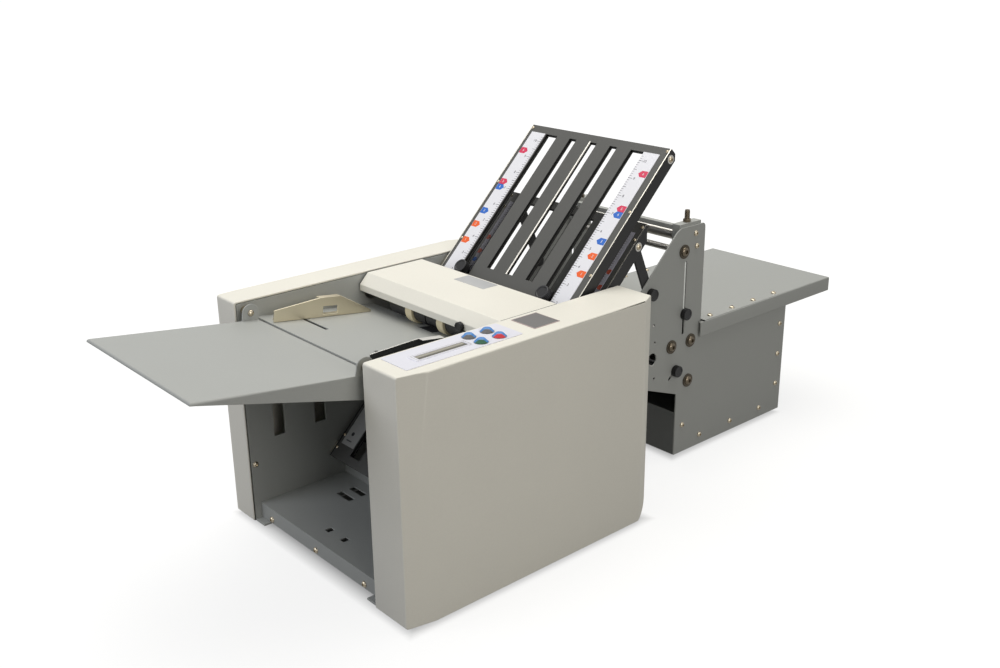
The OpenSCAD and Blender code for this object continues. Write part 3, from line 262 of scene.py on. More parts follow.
def round_folds(piece, radius, segments=4):
    """Gives the outer folds between the top of a sheet and its lips their bend radius."""
    normals = {}
    for face in piece.data.polygons:
        for key in face.edge_keys:
            normals.setdefault(key, []).append(face.normal.z)
    only(piece)
    bpy.ops.object.mode_set(mode="EDIT")
    bpy.ops.mesh.select_mode(type="EDGE")
    bpy.ops.mesh.select_all(action="DESELECT")
    bpy.ops.object.mode_set(mode="OBJECT")
    for edge in piece.data.edges:
        ups = sorted(normals[edge.key])
        ends = [piece.data.vertices[i].co for i in edge.vertices]
        edge.select = abs(ups[0]) < 0.3 and ups[-1] > 0.8 and (ends[0] - ends[1]).length > 60 * mm
    bpy.ops.object.mode_set(mode="EDIT")
    bpy.ops.mesh.bevel(offset=radius * mm, segments=segments, clamp_overlap=False)
    bpy.ops.object.mode_set(mode="OBJECT")


def fit(piece, material, body, slot, *replaced):
    """Gives a finished piece its material, its body and the solids it stands for."""
    if material not in piece.data.materials[:]:
        piece.data.materials.append(material)
    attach(piece, body)
    if replaced:
        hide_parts(*replaced)
    return piece


cream_coat = powder_coat("cream_powder_coat", cream_tone)
for side in ("near", "far"):
    shell = bench_copy(f"{side}_housing", f"{side}_housing_shell")
    soften(shell, fold_radius, 3)
    fit(shell, cream_coat, "chassis", "cream_paint", f"{side}_housing")

# ---- Side frames, base plate, seats and feet ------------------------------------
# Grey powder coated steel: the two frames that carry every shaft, the folded floor with
# its front lip and access holes, and zinc plated seats. The feet are moulded rubber.

grey_tone = "#AFB1AD"
zinc_tone = "#BDB9AE"
foot_tone = "#232325"


def plated(name, tone, rough, lines_mm=0.4, stretch=(1, 1, 14)):
    """Bright plated steel with faint drawn lines."""
    metal = bpy.data.materials.new(name)
    metal.use_nodes = True
    tree = metal.node_tree
    shader = tree.nodes["Principled BSDF"]
    place = add(tree, "TexCoord")
    drawn = add(tree, "Mapping", {"Vector": (place, "Object"), "Scale": stretch})
    lines = add(tree, "TexNoise", {"Vector": (drawn, 0), "Scale": 100 / lines_mm, "Detail": 2.0})
    dull = add(tree, "MapRange", {"Value": (lines, "Fac"), 3: rough - 0.06, 4: rough + 0.08})
    bump = add(tree, "Bump", {"Strength": 0.05, "Distance": 0.0001, "Height": (lines, "Fac")})
    tree.links.new(dull.outputs[0], shader.inputs["Roughness"])
    tree.links.new(bump.outputs[0], shader.inputs["Normal"])
    shader.inputs["Base Color"].default_value = linear(tone)
    shader.inputs["Metallic"].default_value = 1.0
    return metal


def moulded(name, tone, rough, grain_mm=0.8, depth=0.1, ior=1.5):
    """Moulded plastic or rubber with a fine eroded grain."""
    stuff = bpy.data.materials.new(name)
    stuff.use_nodes = True
    tree = stuff.node_tree
    shader = tree.nodes["Principled BSDF"]
    place = add(tree, "TexCoord")
    grain = add(tree, "TexNoise", {"Vector": (place, "Object"), "Scale": 1000 / grain_mm, "Detail": 3.0})
    dull = add(tree, "MapRange", {"Value": (grain, "Fac"), 3: rough - 0.06, 4: rough + 0.06})
    bump = add(tree, "Bump", {"Strength": depth, "Distance": 0.0002, "Height": (grain, "Fac")})
    tree.links.new(dull.outputs[0], shader.inputs["Roughness"])
    tree.links.new(bump.outputs[0], shader.inputs["Normal"])
    shader.inputs["Base Color"].default_value = linear(tone)
    shader.inputs["IOR"].default_value = ior
    return stuff


grey_coat = powder_coat("grey_powder_coat", grey_tone, rough=0.46, peel_mm=1.4, depth=0.2, fleck=0.04)
zinc_plate = plated("bright_zinc_plate", zinc_tone, 0.3)
foot_rubber = moulded("black_rubber", foot_tone, 0.7, 1.2, 0.2)

for node in ("near_side_frame", "far_side_frame", "base_plate", "joining_brackets"):
    sheet = bench_copy(node, f"{node}_sheet")
    soften(sheet, 0.5)
    fit(sheet, grey_coat, "chassis", "grey_paint", node)

seats = bench_copy("plate_seats", "plate_seat_pads")
soften(seats, 0.6)
fit(seats, zinc_plate, "chassis", "bright_steel", "plate_seats")

feet = bench_copy("rubber_feet", "rubber_feet_moulded")
soften(feet, 1.0, 3)
fit(feet, foot_rubber, "chassis", "rubber_black", "rubber_feet")

# ---- Screws ---------------------------------------------------------------------
# Nickel plated button head screws with a hexagon socket, small ones along the edges of
# the fold plates, and large domed ones on black washers at the ends of the cross rods.

nickel_tone = "#C4B9A4"
head_height = 2.4
nickel = plated("nickel_plated_steel", nickel_tone, 0.2, 0.5, (1, 1, 1))
worn_nickel = plated("dark_nickel_plate", "#756B5C", 0.24, 0.5, (1, 1, 1))
washer_steel = plated("bright_washer_steel", "#DAD8D2", 0.38, 0.5, (1, 1, 1))
bronze_washer = plated("dark_bronze_washer", "#5C554A", 0.3, 0.5, (1, 1, 1))


def islands(node):
    """The boxes of the separate solids of a construction node."""
    bench_copy(node, "probe")
    bpy.ops.object.mode_set(mode="EDIT")
    bpy.ops.mesh.separate(type="LOOSE")
    bpy.ops.object.mode_set(mode="OBJECT")
    found = []
    for part in bpy.context.selected_objects[:]:
        spots = [v.co for v in part.data.vertices]
        low = Vector(min(s[i] for s in spots) for i in range(3))
        high = Vector(max(s[i] for s in spots) for i in range(3))
        found.append((low, high))
    bpy.ops.object.delete()
    return found


def apply_place(piece):
    """Puts a piece's place, turn and scale into its mesh."""
    only(piece)
    bpy.ops.object.transform_apply(location=True, rotation=True, scale=True)


def button_head(name, radius, height, socket):
    """A domed screw head standing on z = 0, with a hexagon socket cut into it."""
    bpy.ops.mesh.primitive_uv_sphere_add(segments=28, ring_count=16, radius=1)
    head = bpy.context.object
    head.name = name
    bpy.ops.object.mode_set(mode="EDIT")
    bpy.ops.mesh.select_all(action="SELECT")
    bpy.ops.mesh.bisect(plane_co=(0, 0, 0.02), plane_no=(0, 0, 1), clear_inner=True, use_fill=True)
    bpy.ops.mesh.select_all(action="SELECT")
    bpy.ops.mesh.bisect(plane_co=(0, 0, 0.86), plane_no=(0, 0, 1), clear_outer=True, use_fill=True)
    bpy.ops.object.mode_set(mode="OBJECT")
    head.scale = (radius * mm, radius * mm, height * mm / 0.86)
    apply_place(head)
    bpy.ops.mesh.primitive_cylinder_add(vertices=6, radius=socket * mm, depth=height * mm * 1.4,
                                        location=(0, 0, height * mm * 1.15))
    key = bpy.context.object
    only(head)
    cut = head.modifiers.new("socket", "BOOLEAN")
    cut.operation = "DIFFERENCE"
    cut.object = key
    bpy.ops.object.modifier_apply(modifier="socket")
    bpy.ops.object.shade_smooth_by_angle(angle=radians(35))
    only(key)
    bpy.ops.object.delete()
    return head


def flat_ring(name, radius, bore, thickness):
    """A flat washer standing on z = 0, with a soft rim and its bore."""
    bpy.ops.mesh.primitive_cylinder_add(vertices=40, radius=radius * mm, depth=thickness * mm,
                                        location=(0, 0, thickness / 2 * mm))
    ring = bpy.context.object
    ring.name = name
    apply_place(ring)
    bpy.ops.object.mode_set(mode="EDIT")
    bpy.ops.mesh.select_mode(type="FACE")
    bpy.ops.mesh.select_all(action="DESELECT")
    bpy.ops.object.mode_set(mode="OBJECT")
    for face in ring.data.polygons:
        face.select = abs(face.normal.z) > 0.9
    bpy.ops.object.mode_set(mode="EDIT")
    bpy.ops.mesh.inset(thickness=(radius - bore) * mm)
    bpy.ops.mesh.bridge_edge_loops()
    bpy.ops.object.mode_set(mode="OBJECT")
    soften(ring, 0.2)
    return ring


def set_in_place(model, spots, name):
    """Copies of a model at each (place, outward direction), joined into one piece."""
    made = []
    for place, outward in spots:
        only(model)
        bpy.ops.object.duplicate()
        copy = bpy.context.object
        turn = Vector((0, 0, 1)).rotation_difference(Vector(outward)).to_matrix().to_4x4()
        copy.matrix_world = Matrix.Translation(place) @ turn
        bpy.ops.object.transform_apply(location=True, rotation=True, scale=True)
        made.append(copy)
    only(*made)
    bpy.ops.object.join()
    joined = bpy.context.object
    joined.name = name
    joined.data.name = name
    only(model)
    bpy.ops.object.delete()
    return joined


def faces_far_side(middle):
    """True if a screw with its axis across the machine points to +Y."""
    in_bay = (middle.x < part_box("base_plate")[1].x
              and abs(middle.y) > abs(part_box("fold_plate_1")[0].y) + 4 * mm)
    return middle.y < 0 if in_bay else middle.y > 0


def seat_of(low, high):
    """Where a screw head stands and which way it points, from its solid's box."""
    size = high - low
    middle = (low + high) / 2
    across = max(size)
    flat = [i for i in range(3) if size[i] < 0.8 * across]
    if len(flat) != 1:
        return middle, Vector((-1, 0, 1)).normalized()
    axis = flat[0]
    outward = Vector((0, 0, 0))
    outward[axis] = {0: -1, 1: 1 if faces_far_side(middle) else -1, 2: 1}[axis]
    place = middle.copy()
    place[axis] = high[axis] - head_height * mm if outward[axis] > 0 else low[axis] + head_height * mm
    return place, outward


wall_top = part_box("near_housing")[1].z
large_heads = []
small_heads = []
plate_sides = []
for low, high in islands("button_screws"):
    spot = seat_of(low, high)
    if max(high - low) < 6 * mm:
        small_heads.append(spot)
    else:
        large_heads.append(spot)
    if spot[1].y and low.z > wall_top and high.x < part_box("rear_box_tray")[0].x - 40 * mm:
        plate_sides.append(spot)
large = set_in_place(button_head("large_head", 3.8, head_height, 1.7), large_heads, "button_head_screws")
small = set_in_place(button_head("small_head", 2.1, 1.3, 0.9), small_heads, "plate_edge_screws")
only(large, small)
bpy.ops.object.join()
fit(large, nickel, "chassis", "bright_steel", "button_screws")
rings = set_in_place(flat_ring("side_washer", 5.4, 3.0, 0.7), plate_sides, "plate_side_washers")
fit(rings, washer_steel, "chassis", "bright_steel")

domes = []
for low, high in islands("shaft_screws"):
    middle = (low + high) / 2
    outward = Vector((0, 1 if middle.y > 0 else -1, 0))
    domes.append((Vector((middle.x, low.y if middle.y > 0 else high.y, middle.z)), outward))
dark_rings = set_in_place(flat_ring("rod_washer", 9.0, 3.0, 1.6), domes, "rod_end_washers")
fit(dark_rings, bronze_washer, "chassis", "bright_steel", "shaft_screws")
on_rings = [(place + outward * 1.5 * mm, outward) for place, outward in domes]
dome_screws = set_in_place(button_head("rod_dome", 6.2, 2.9, 2.7), on_rings, "domed_rod_screws")
fit(dome_screws, worn_nickel, "chassis", "bright_steel", "shaft_screws")

# ---- Control panel --------------------------------------------------------------
# A printed film on the near housing, a two-line display behind a clear window, and four
# tapered keys of tinted plastic. The circuit board hangs from four posts under them.

film_tone = "#ECECF5"
glass_light = "#A5A192"
glass_dark = "#5A5648"
key_blue = "#4C8FD6"
key_tones = {"plus_key": "#74716F", "minus_key": "#74716F", "start_key": "#3F6E54", "stop_key": "#DE4148"}

film = moulded("satin_polyester_film", film_tone, 0.35, 1.0, 0.04)
overlay = bench_copy("control_panel", "control_panel_film")
soften(overlay, 0.25)
fit(overlay, film, "chassis", "panel_film", "control_panel")

window_low, window_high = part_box("lcd_window")
glass = moulded("display_window", glass_dark, 0.1, 2.0, 0.02)
tree = glass.node_tree
place = add(tree, "TexCoord")
axes = add(tree, "SeparateXYZ", {0: (place, "Object")})
window_mid = (window_low.y + window_high.y) / 2
band = add(tree, "MapRange", {"Value": (axes, 1), 1: window_mid - 0.4 * mm, 2: window_mid + 1.6 * mm})
tones = add(tree, "Mix", {0: (band, 0), 6: linear(glass_dark), 7: linear(glass_light)}, data_type="RGBA")
tree.links.new(tones.outputs[2], tree.nodes["Principled BSDF"].inputs["Base Color"])
window = bench_copy("lcd_window", "display_window")
soften(window, 0.2)
fit(window, glass, "chassis", "lcd", "lcd_window")

rim_grey = moulded("grey_print", "#B4B2AE", 0.45, 1.0, 0.02)
bezel_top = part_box("control_panel")[1].z
bpy.ops.mesh.primitive_plane_add(size=1, location=((window_low.x + window_high.x) / 2,
                                                    window_mid, bezel_top + 0.02 * mm))
outline = bpy.context.object
outline.name = "display_outline"
outline.scale = (67.5 * mm, 14.2 * mm, 1)
apply_place(outline)
bpy.ops.object.mode_set(mode="EDIT")
bpy.ops.mesh.select_all(action="SELECT")
bpy.ops.mesh.inset(thickness=0.55 * mm)
bpy.ops.mesh.delete(type="FACE")
bpy.ops.object.mode_set(mode="OBJECT")
sheet = outline.modifiers.new("print", "SOLIDIFY")
sheet.thickness = 0.06 * mm
bpy.ops.object.modifier_apply(modifier="print")
fit(outline, rim_grey, "chassis", "panel_film")

board_green = moulded("green_solder_mask", "#2C6A45", 0.4, 1.0, 0.06)
nodes["circuit_board"].data.materials.clear()
nodes["circuit_board"].data.materials.append(board_green)


def key_plastic(node, tone):
    """Blue tinted plastic whose lower part, towards the operator, shows the key's colour."""
    low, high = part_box(node)
    middle = (low + high) / 2
    stuff = moulded(f"{node}_tinted_plastic", tone, 0.2, 1.0, 0.03)
    tree = stuff.node_tree
    place = add(tree, "TexCoord")
    towards = Vector((0.66, 0.75, 0))
    course = add(tree, "VectorMath", {0: (place, "Object"), 1: towards}, operation="DOT_PRODUCT")
    start = middle.dot(towards)
    edge = add(tree, "MapRange", {"Value": (course, "Value"), 1: start - 4.3 * mm, 2: start - 3.2 * mm})
    tones = add(tree, "Mix", {0: (edge, 0), 6: linear(tone), 7: linear(key_blue)}, data_type="RGBA")
    tree.links.new(tones.outputs[2], tree.nodes["Principled BSDF"].inputs["Base Color"])
    return stuff


cap_lift = 1.0 * mm


def key_cap(node):
    """A tapered round key with a soft rim and a shallow dish, on its stem."""
    low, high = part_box(node)
    middle = (low + high) / 2
    radius = (high.x - low.x) / 2
    cap_height = 3.6 * mm
    cap_top = high.z + cap_lift
    bpy.ops.mesh.primitive_cone_add(vertices=48, radius1=radius, radius2=0.56 * radius, depth=cap_height,
                                    location=(middle.x, middle.y, cap_top - cap_height / 2))
    cap = bpy.context.object
    bpy.ops.object.mode_set(mode="EDIT")
    bpy.ops.mesh.select_mode(type="FACE")
    bpy.ops.mesh.select_all(action="DESELECT")
    bpy.ops.object.mode_set(mode="OBJECT")
    for face in cap.data.polygons:
        face.select = face.normal.z > 0.9
    bpy.ops.object.mode_set(mode="EDIT")
    bpy.ops.mesh.inset(thickness=0.8 * mm)
    bpy.ops.mesh.inset(thickness=2.2 * mm, depth=-0.2 * mm)
    bpy.ops.object.mode_set(mode="OBJECT")
    soften(cap, 0.45, 3, 20)
    stem = bench_copy(node, "stem")
    bpy.ops.object.mode_set(mode="EDIT")
    bpy.ops.mesh.select_all(action="SELECT")
    bpy.ops.mesh.bisect(plane_co=(0, 0, cap_top - cap_height + 0.1 * mm), plane_no=(0, 0, 1),
                        clear_outer=True, use_fill=True)
    bpy.ops.object.mode_set(mode="OBJECT")
    only(cap, stem)
    bpy.ops.object.join()
    cap.name = f"{node}_cap"
    apply_place(cap)
    return cap


for node, tone in key_tones.items():
    slot = {"start_key": "key_dark_blue", "stop_key": "key_red"}.get(node, "key_blue")
    fit(key_cap(node), key_plastic(node, tone), node, slot, node)

# ---- Power inlet and switch -----------------------------------------------------
# The mains socket with its three plated pins and the rocker switch in the rear wall,
# both moulded in black plastic.

black_plastic = moulded("black_moulded_plastic", "#1B1B1D", 0.36, 0.9, 0.1)
socket = bench_copy("power_inlet", "mains_socket")
soften(socket, 0.4)
fit(socket, black_plastic, "chassis", "black_plastic", "power_inlet")
rocker = bench_copy("power_switch", "rocker_switch")
soften(rocker, 0.4)
fit(rocker, black_plastic, "power_switch", "black_plastic", "power_switch")

inlet_low, inlet_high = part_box("power_inlet")
pin_size = Vector((11, 2, 4)) * mm
pin_depth = 12 * mm
pin_row = 11.5
made = []
for across, up in ((-7, 0), (0, 3), (7, 0)):
    bpy.ops.mesh.primitive_cube_add(size=1, location=(
        inlet_high.x - pin_depth,
        (inlet_low.y + inlet_high.y) / 2 + across * mm,
        inlet_low.z + (pin_row + up) * mm))
    pin = bpy.context.object
    pin.scale = pin_size
    apply_place(pin)
    soften(pin, 0.5)
    made.append(pin)
only(*made)
bpy.ops.object.join()
pins = bpy.context.object
pins.name = "mains_socket_pins"
fit(pins, nickel, "chassis", "bright_steel")

# ---- Feed tray, bed and separator -----------------------------------------------
# Folded sheet steel in grey powder coat. The tray swings on two shoulder screws at the
# side frames; the bed is fixed between them and holds the rubber separator pad.

tray = bench_copy("feed_tray", "feed_tray_sheet")
round_folds(tray, 2.8)
soften(tray, 0.5)
fit(tray, grey_coat, "feed_tray", "grey_paint", "feed_tray")
bed = bench_copy("feed_bed", "feed_bed_sheet")
soften(bed, 0.4)
fit(bed, grey_coat, "chassis", "grey_paint", "feed_bed")
pivots = bench_copy("tray_pivots", "tray_shoulder_screws")
soften(pivots, 0.3)
fit(pivots, nickel, "chassis", "bright_steel", "tray_pivots")
pad = bench_copy("separator_pad", "separator_rubber")
soften(pad, 0.4)
fit(pad, foot_rubber, "chassis", "rubber_black", "separator_pad")

# ---- Side guides ----------------------------------------------------------------
# Two bent guide plates that slide across the bed on their studs, both of stainless steel. The near one
# is given a black coat as painted reflection of the dark gap beside it, with bright steel on its upward top
# faces as painted highlight; the far one has a rolled finish and a warm tint that is a painted reflection of
# the paper.

# The warm tint of this stainless is a painted reflection of the paper.
paper_tinted_stainless = plated("rolled_stainless_paper_reflection", "#E3D9BF", 0.36, 0.6, (1, 1, 10))
black_coat = powder_coat("black_powder_coat", "#1F1F20", rough=0.4, peel_mm=1.4, depth=0.06)
# The near guide's black coat is a painted reflection of the dark gap beside it.
near_guide = bench_copy("near_guide", "near_guide_plate")
soften(near_guide, 0.4)
fit(near_guide, black_coat, "near_guide", "bright_steel", "near_guide")
far_guide = bench_copy("far_guide", "far_guide_plate")
soften(far_guide, 0.4)
fit(far_guide, paper_tinted_stainless, "far_guide", "bright_steel", "far_guide")


def second_coat(piece, material, test):
    """Gives the faces that pass the test another material."""
    piece.data.materials.append(material)
    index = len(piece.data.materials) - 1
    for face in piece.data.polygons:
        if test(face):
            face.material_index = index


# Bright steel on the near guide's upward faces at its top: a painted highlight.
guide_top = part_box("near_guide")[1].z
second_coat(near_guide, washer_steel,
            lambda face: face.center.z > guide_top - 4.5 * mm and face.normal.z > 0.4)

# ---- Feed roller ----------------------------------------------------------------
# Black hubs on a steel shaft, with two tyres of soft pale rubber that grip the paper.

hubs = bench_copy("feed_roller", "feed_roller_hubs")
soften(hubs, 0.6)
fit(hubs, black_plastic, "feed_roller", "black_plastic", "feed_roller")
tyre_rubber = moulded("pale_feed_rubber", "#E2D6B4", 0.75, 1.4, 0.25)
tyres = bench_copy("feed_tyres", "feed_roller_tyres")
soften(tyres, 0.8, 3)
fit(tyres, tyre_rubber, "feed_roller", "tyre_cream", "feed_tyres")

# ---- Top cover ------------------------------------------------------------------
# A folded cover in the same cream coat with a sloped front, and a black knurled knob on
# its lip. A bare satin plate is stuck on at its rear edge.

cover = bench_copy("top_cover", "top_cover_sheet")
cover_low, cover_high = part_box("top_cover")
end_play = 1.3 * mm
pin_length = 3.5 * mm
for corner in cover.data.vertices:
    for end, side in ((cover_low.y + pin_length, 1), (cover_high.y - pin_length, -1)):
        if abs(corner.co.y - end) < 0.1 * mm:
            corner.co.y += side * end_play
soften(cover, 0.8, 3)
fit(cover, cream_coat, "cover", "cream_paint", "top_cover")
# The cover's faces that face the housings are painted black: painted shade for the dark gap line along the
# housings.
painted_shade_edge_black = powder_coat("black_edge_painted_shade", "#141414", rough=0.5, peel_mm=1.0, depth=0.1)
second_coat(cover, painted_shade_edge_black, lambda face: abs(face.normal.y) > 0.2)


def clamp_knob(name, radius, height, ribs=30):
    """A clamp knob with ribs round its rim and a dished face, standing on z = 0."""
    bpy.ops.mesh.primitive_cylinder_add(vertices=ribs, radius=(radius - 0.45) * mm, depth=height * mm,
                                        location=(0, 0, height / 2 * mm))
    knob = bpy.context.object
    knob.name = name
    apply_place(knob)
    for test, steps in (
            (lambda face: abs(face.normal.z) < 0.1, ((0.025 * radius, 0.45),)),
            (lambda face: face.normal.z > 0.9 and len(face.vertices) == ribs,
             ((0.18 * radius, 0), (0.08 * radius, -0.7)))):
        bpy.ops.object.mode_set(mode="EDIT")
        bpy.ops.mesh.select_mode(type="FACE")
        bpy.ops.mesh.select_all(action="DESELECT")
        bpy.ops.object.mode_set(mode="OBJECT")
        for face in knob.data.polygons:
            face.select = test(face)
        bpy.ops.object.mode_set(mode="EDIT")
        for thickness, depth in steps:
            bpy.ops.mesh.inset(thickness=thickness * mm, depth=depth * mm, use_individual=True)
        bpy.ops.object.mode_set(mode="OBJECT")
    soften(knob, 0.12, 1)
    return knob


def cut_off(piece, place, outward):
    """Removes what lies beyond a plane and closes the cut."""
    only(piece)
    bpy.ops.object.mode_set(mode="EDIT")
    bpy.ops.mesh.select_all(action="SELECT")
    bpy.ops.mesh.bisect(plane_co=place, plane_no=outward, clear_outer=True, use_fill=True)
    bpy.ops.object.mode_set(mode="OBJECT")


knob_low, knob_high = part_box("cover_knob")
knob_face = Vector((cover_low.x - 0.3 * mm, (knob_low.y + knob_high.y) / 2, (knob_low.z + knob_high.z) / 2))
turn_knob = set_in_place(clamp_knob("knob_model", 5.6, 4.9), [(knob_face, (-1, 0, 0))], "cover_turn_knob")
knob_pin = bench_copy("cover_knob", "knob_pin")
cut_off(knob_pin, knob_face, (-1, 0, 0))
only(turn_knob, knob_pin)
bpy.ops.object.join()
fit(turn_knob, black_plastic, "cover_knob", "black_plastic", "cover_knob")


def flat_plate(name, low, high, bevel):
    """A thin plate between two corners, with rounded corners and a soft rim."""
    size = Vector(high) - Vector(low)
    bpy.ops.mesh.primitive_cube_add(size=1, location=(Vector(low) + Vector(high)) / 2)
    plate = bpy.context.object
    plate.name = name
    plate.scale = size
    apply_place(plate)
    soften(plate, bevel, 2)
    return plate


label_right = cover_high.x - 2.5 * mm
label_length = 23 * mm
label_near, label_far = -17 * mm, 37 * mm
label_t = 0.25 * mm
satin_film = plated("satin_silver_film", "#B9BABA", 0.5)
plate = flat_plate("bare_cover_plate", (label_right - label_length, label_near, cover_high.z),
                   (label_right, label_far, cover_high.z + label_t), 0.08)
fit(plate, satin_film, "cover", "bright_steel")

# ---- Fold rollers and drive -----------------------------------------------------
# Six rubber coated steel rollers geared together, in ball bearings, with the belt drive
# in the near housing. They show only as dark cylinders between the plates.

drum_rubber = moulded("grey_roller_rubber", "#3A3C40", 0.5, 1.0, 0.15)
for i in range(1, 7):
    node = f"fold_roller_{i}"
    nodes[node].data.materials.clear()
    nodes[node].data.materials.append(drum_rubber)
for node, material in (("roller_bearings", zinc_plate), ("motor_pulley", zinc_plate),
                       ("drive_motor", black_coat), ("drive_belt", foot_rubber)):
    nodes[node].data.materials.clear()
    nodes[node].data.materials.append(material)

# ---- Fold plates ----------------------------------------------------------------
# Each plate is a pair of slotted sheets in dark grey hammered coat whose cut edges are painted black as
# painted shade, held at its sides by two channels that are black outside, with bright steel on the front
# rims of the upper channels as painted highlight.

plate_tone = "#50504D"
lean = radians(45)
up_plate = Vector((cos(lean), 0, sin(lean)))
off_plate = Vector((-sin(lean), 0, cos(lean)))
half_stack = 3.0
plate_coat = powder_coat("dark_hammered_coat", plate_tone, rough=0.52, peel_mm=1.1, depth=0.05, fleck=0.08)
rim_painted_highlight = plated("steel_rim_painted_highlight", "#F2EEE2", 0.3, 0.5, (1, 1, 1))
for i in (1, 2, 3, 4):
    sheets = bench_copy(f"fold_plate_{i}", f"fold_plate_{i}_sheets")
    soften(sheets, 0.3)
    fit(sheets, plate_coat, "chassis", "plate_paint", f"fold_plate_{i}")
    # The sheets' cut edges are painted black as painted shade.
    second_coat(sheets, painted_shade_edge_black, lambda face: abs(face.normal.dot(off_plate)) < 0.5)
channels = bench_copy("plate_channels", "plate_side_channels")
soften(channels, 0.25)
fit(channels, black_coat, "chassis", "black_paint", "plate_channels")
# Bright steel on the front faces of the upper channels is a painted highlight.
second_coat(channels, rim_painted_highlight, lambda face: face.normal.dot(off_plate) > 0.6 and face.center.z > 220 * mm)


def plate_place(number, along=0.0, across=0.0, off=half_stack):
    """The turn and place that set a flat piece on the front face of a plate."""
    low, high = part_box(f"fold_plate_{number}")
    ends = half_stack * mm * Vector((sin(lean), 0, cos(lean)))
    mouth = low + ends if number % 2 else high - ends
    mouth.y = (low.y + high.y) / 2
    spot = mouth + along * mm * up_plate + across * mm * Vector((0, 1, 0)) + off * mm * off_plate
    turn = Matrix((Vector((0, -1, 0)), up_plate, off_plate)).transposed().to_4x4()
    return Matrix.Translation(spot) @ turn


polished = plated("polished_rod_steel", "#E9E6DE", 0.32, 0.5, (1, 1, 1))
rod_from, rod_to = 60.5, 262.5
bpy.ops.mesh.primitive_cylinder_add(vertices=20, radius=1.1 * mm, depth=(rod_to - rod_from) * mm,
                                    rotation=(radians(90), 0, 0),
                                    location=(0, (rod_to + rod_from) / 2 * mm, 0))
rail = bpy.context.object
rail.name = "stop_guide_rail"
apply_place(rail)
soften(rail, 0.3)
rail.matrix_world = plate_place(1, 0, 7.3, 2.7)
apply_place(rail)
fit(rail, polished, "chassis", "bright_steel")

# ---- Rulers ---------------------------------------------------------------------
# White printed films on the plates: tick marks every eighth of an inch, plain numbers at
# each inch, and coloured marks at a half and at thirds of two paper lengths.

inch = 25.4
zero_mark = -5.3
white_film = moulded("white_ruler_film", "#F5F5FA", 0.3, 1.0, 0.02)
lilac_shaded_film = moulded("lilac_ruler_film_painted_shade", "#B9B8C6", 0.35, 1.0, 0.02)
grey_shaded_film = moulded("grey_ruler_film_painted_shade", "#B5B5B3", 0.4, 1.0, 0.02)
black_ink = moulded("black_ink", "#2B2B2E", 0.45, 1.0, 0.02)
white_ink = moulded("white_ink", "#F4F2F2", 0.45, 1.0, 0.02)
inks = {"red": moulded("red_ink", "#E0325C", 0.4, 1.0, 0.02),
        "blue": moulded("blue_ink", "#2B6FD0", 0.4, 1.0, 0.02),
        "orange": moulded("orange_ink", "#FA6A2A", 0.4, 1.0, 0.02),
        "rust": moulded("rust_ink", "#C24A26", 0.4, 1.0, 0.02)}
rulers = bench_copy("fold_rulers", "ruler_films")
soften(rulers, 0.15)
fit(rulers, white_film, "chassis", "ruler_white", "fold_rulers")
middle_1 = plate_place(1).translation
# The darker lilac and grey tones of the films on the other plates are painted shade.
second_coat(rulers, lilac_shaded_film, lambda face: (face.center - middle_1).dot(off_plate) < -6 * mm)
second_coat(rulers, grey_shaded_film, lambda face: face.center.z < 200 * mm)

ink_t = 0.07
film_top = half_stack + 0.8


def tick_row(length, start, gap, count, edge, inward):
    """A row of printed ticks up a ruler, from one tick and an array."""
    bpy.ops.mesh.primitive_cube_add(size=1, location=((edge + inward * length / 2) * mm, start * mm,
                                                      ink_t / 2 * mm))
    row = bpy.context.object
    row.scale = (length * mm, 0.42 * mm, ink_t * mm)
    apply_place(row)
    spread = row.modifiers.new("ticks", "ARRAY")
    spread.use_relative_offset = False
    spread.use_constant_offset = True
    spread.constant_offset_displace = (0, gap * mm, 0)
    spread.count = count
    bpy.ops.object.modifier_apply(modifier="ticks")
    return row


def numeral(text, size, across, along):
    """A printed number, flat on the film."""
    bpy.ops.object.text_add(location=(across * mm, along * mm, 0))
    word = bpy.context.object
    word.data.body = text
    word.data.size = size * mm
    word.data.align_x = "CENTER"
    word.data.align_y = "CENTER"
    word.data.extrude = ink_t / 2 * mm
    word.data.resolution_u = 2
    bpy.ops.object.convert(target="MESH")
    word = bpy.context.object
    word.location.z = ink_t / 2 * mm
    apply_place(word)
    return word


def flag(across, along, length, width, inward):
    """A coloured mark with a flat outer end and a point towards the ticks."""
    bpy.ops.mesh.primitive_cube_add(size=1, location=(across * mm, along * mm, ink_t / 2 * mm))
    mark = bpy.context.object
    mark.scale = (length * mm, width * mm, ink_t * mm)
    apply_place(mark)
    tip = Vector(((across + inward * length / 2) * mm, along * mm, 0))
    bpy.ops.object.mode_set(mode="EDIT")
    for side in (-1, 1):
        bpy.ops.mesh.select_all(action="SELECT")
        bpy.ops.mesh.bisect(plane_co=tip, plane_no=(inward, side * 0.9, 0), clear_outer=True, use_fill=True)
    bpy.ops.object.mode_set(mode="OBJECT")
    return mark


def print_on(pieces, name, ink, number, off=film_top):
    """Joins printed marks and lays them on a plate's film."""
    only(*pieces)
    bpy.ops.object.join()
    print_piece = bpy.context.object
    print_piece.name = name
    print_piece.matrix_world = plate_place(number, 0, 0, off)
    apply_place(print_piece)
    fit(print_piece, ink, "chassis", "ruler_white")


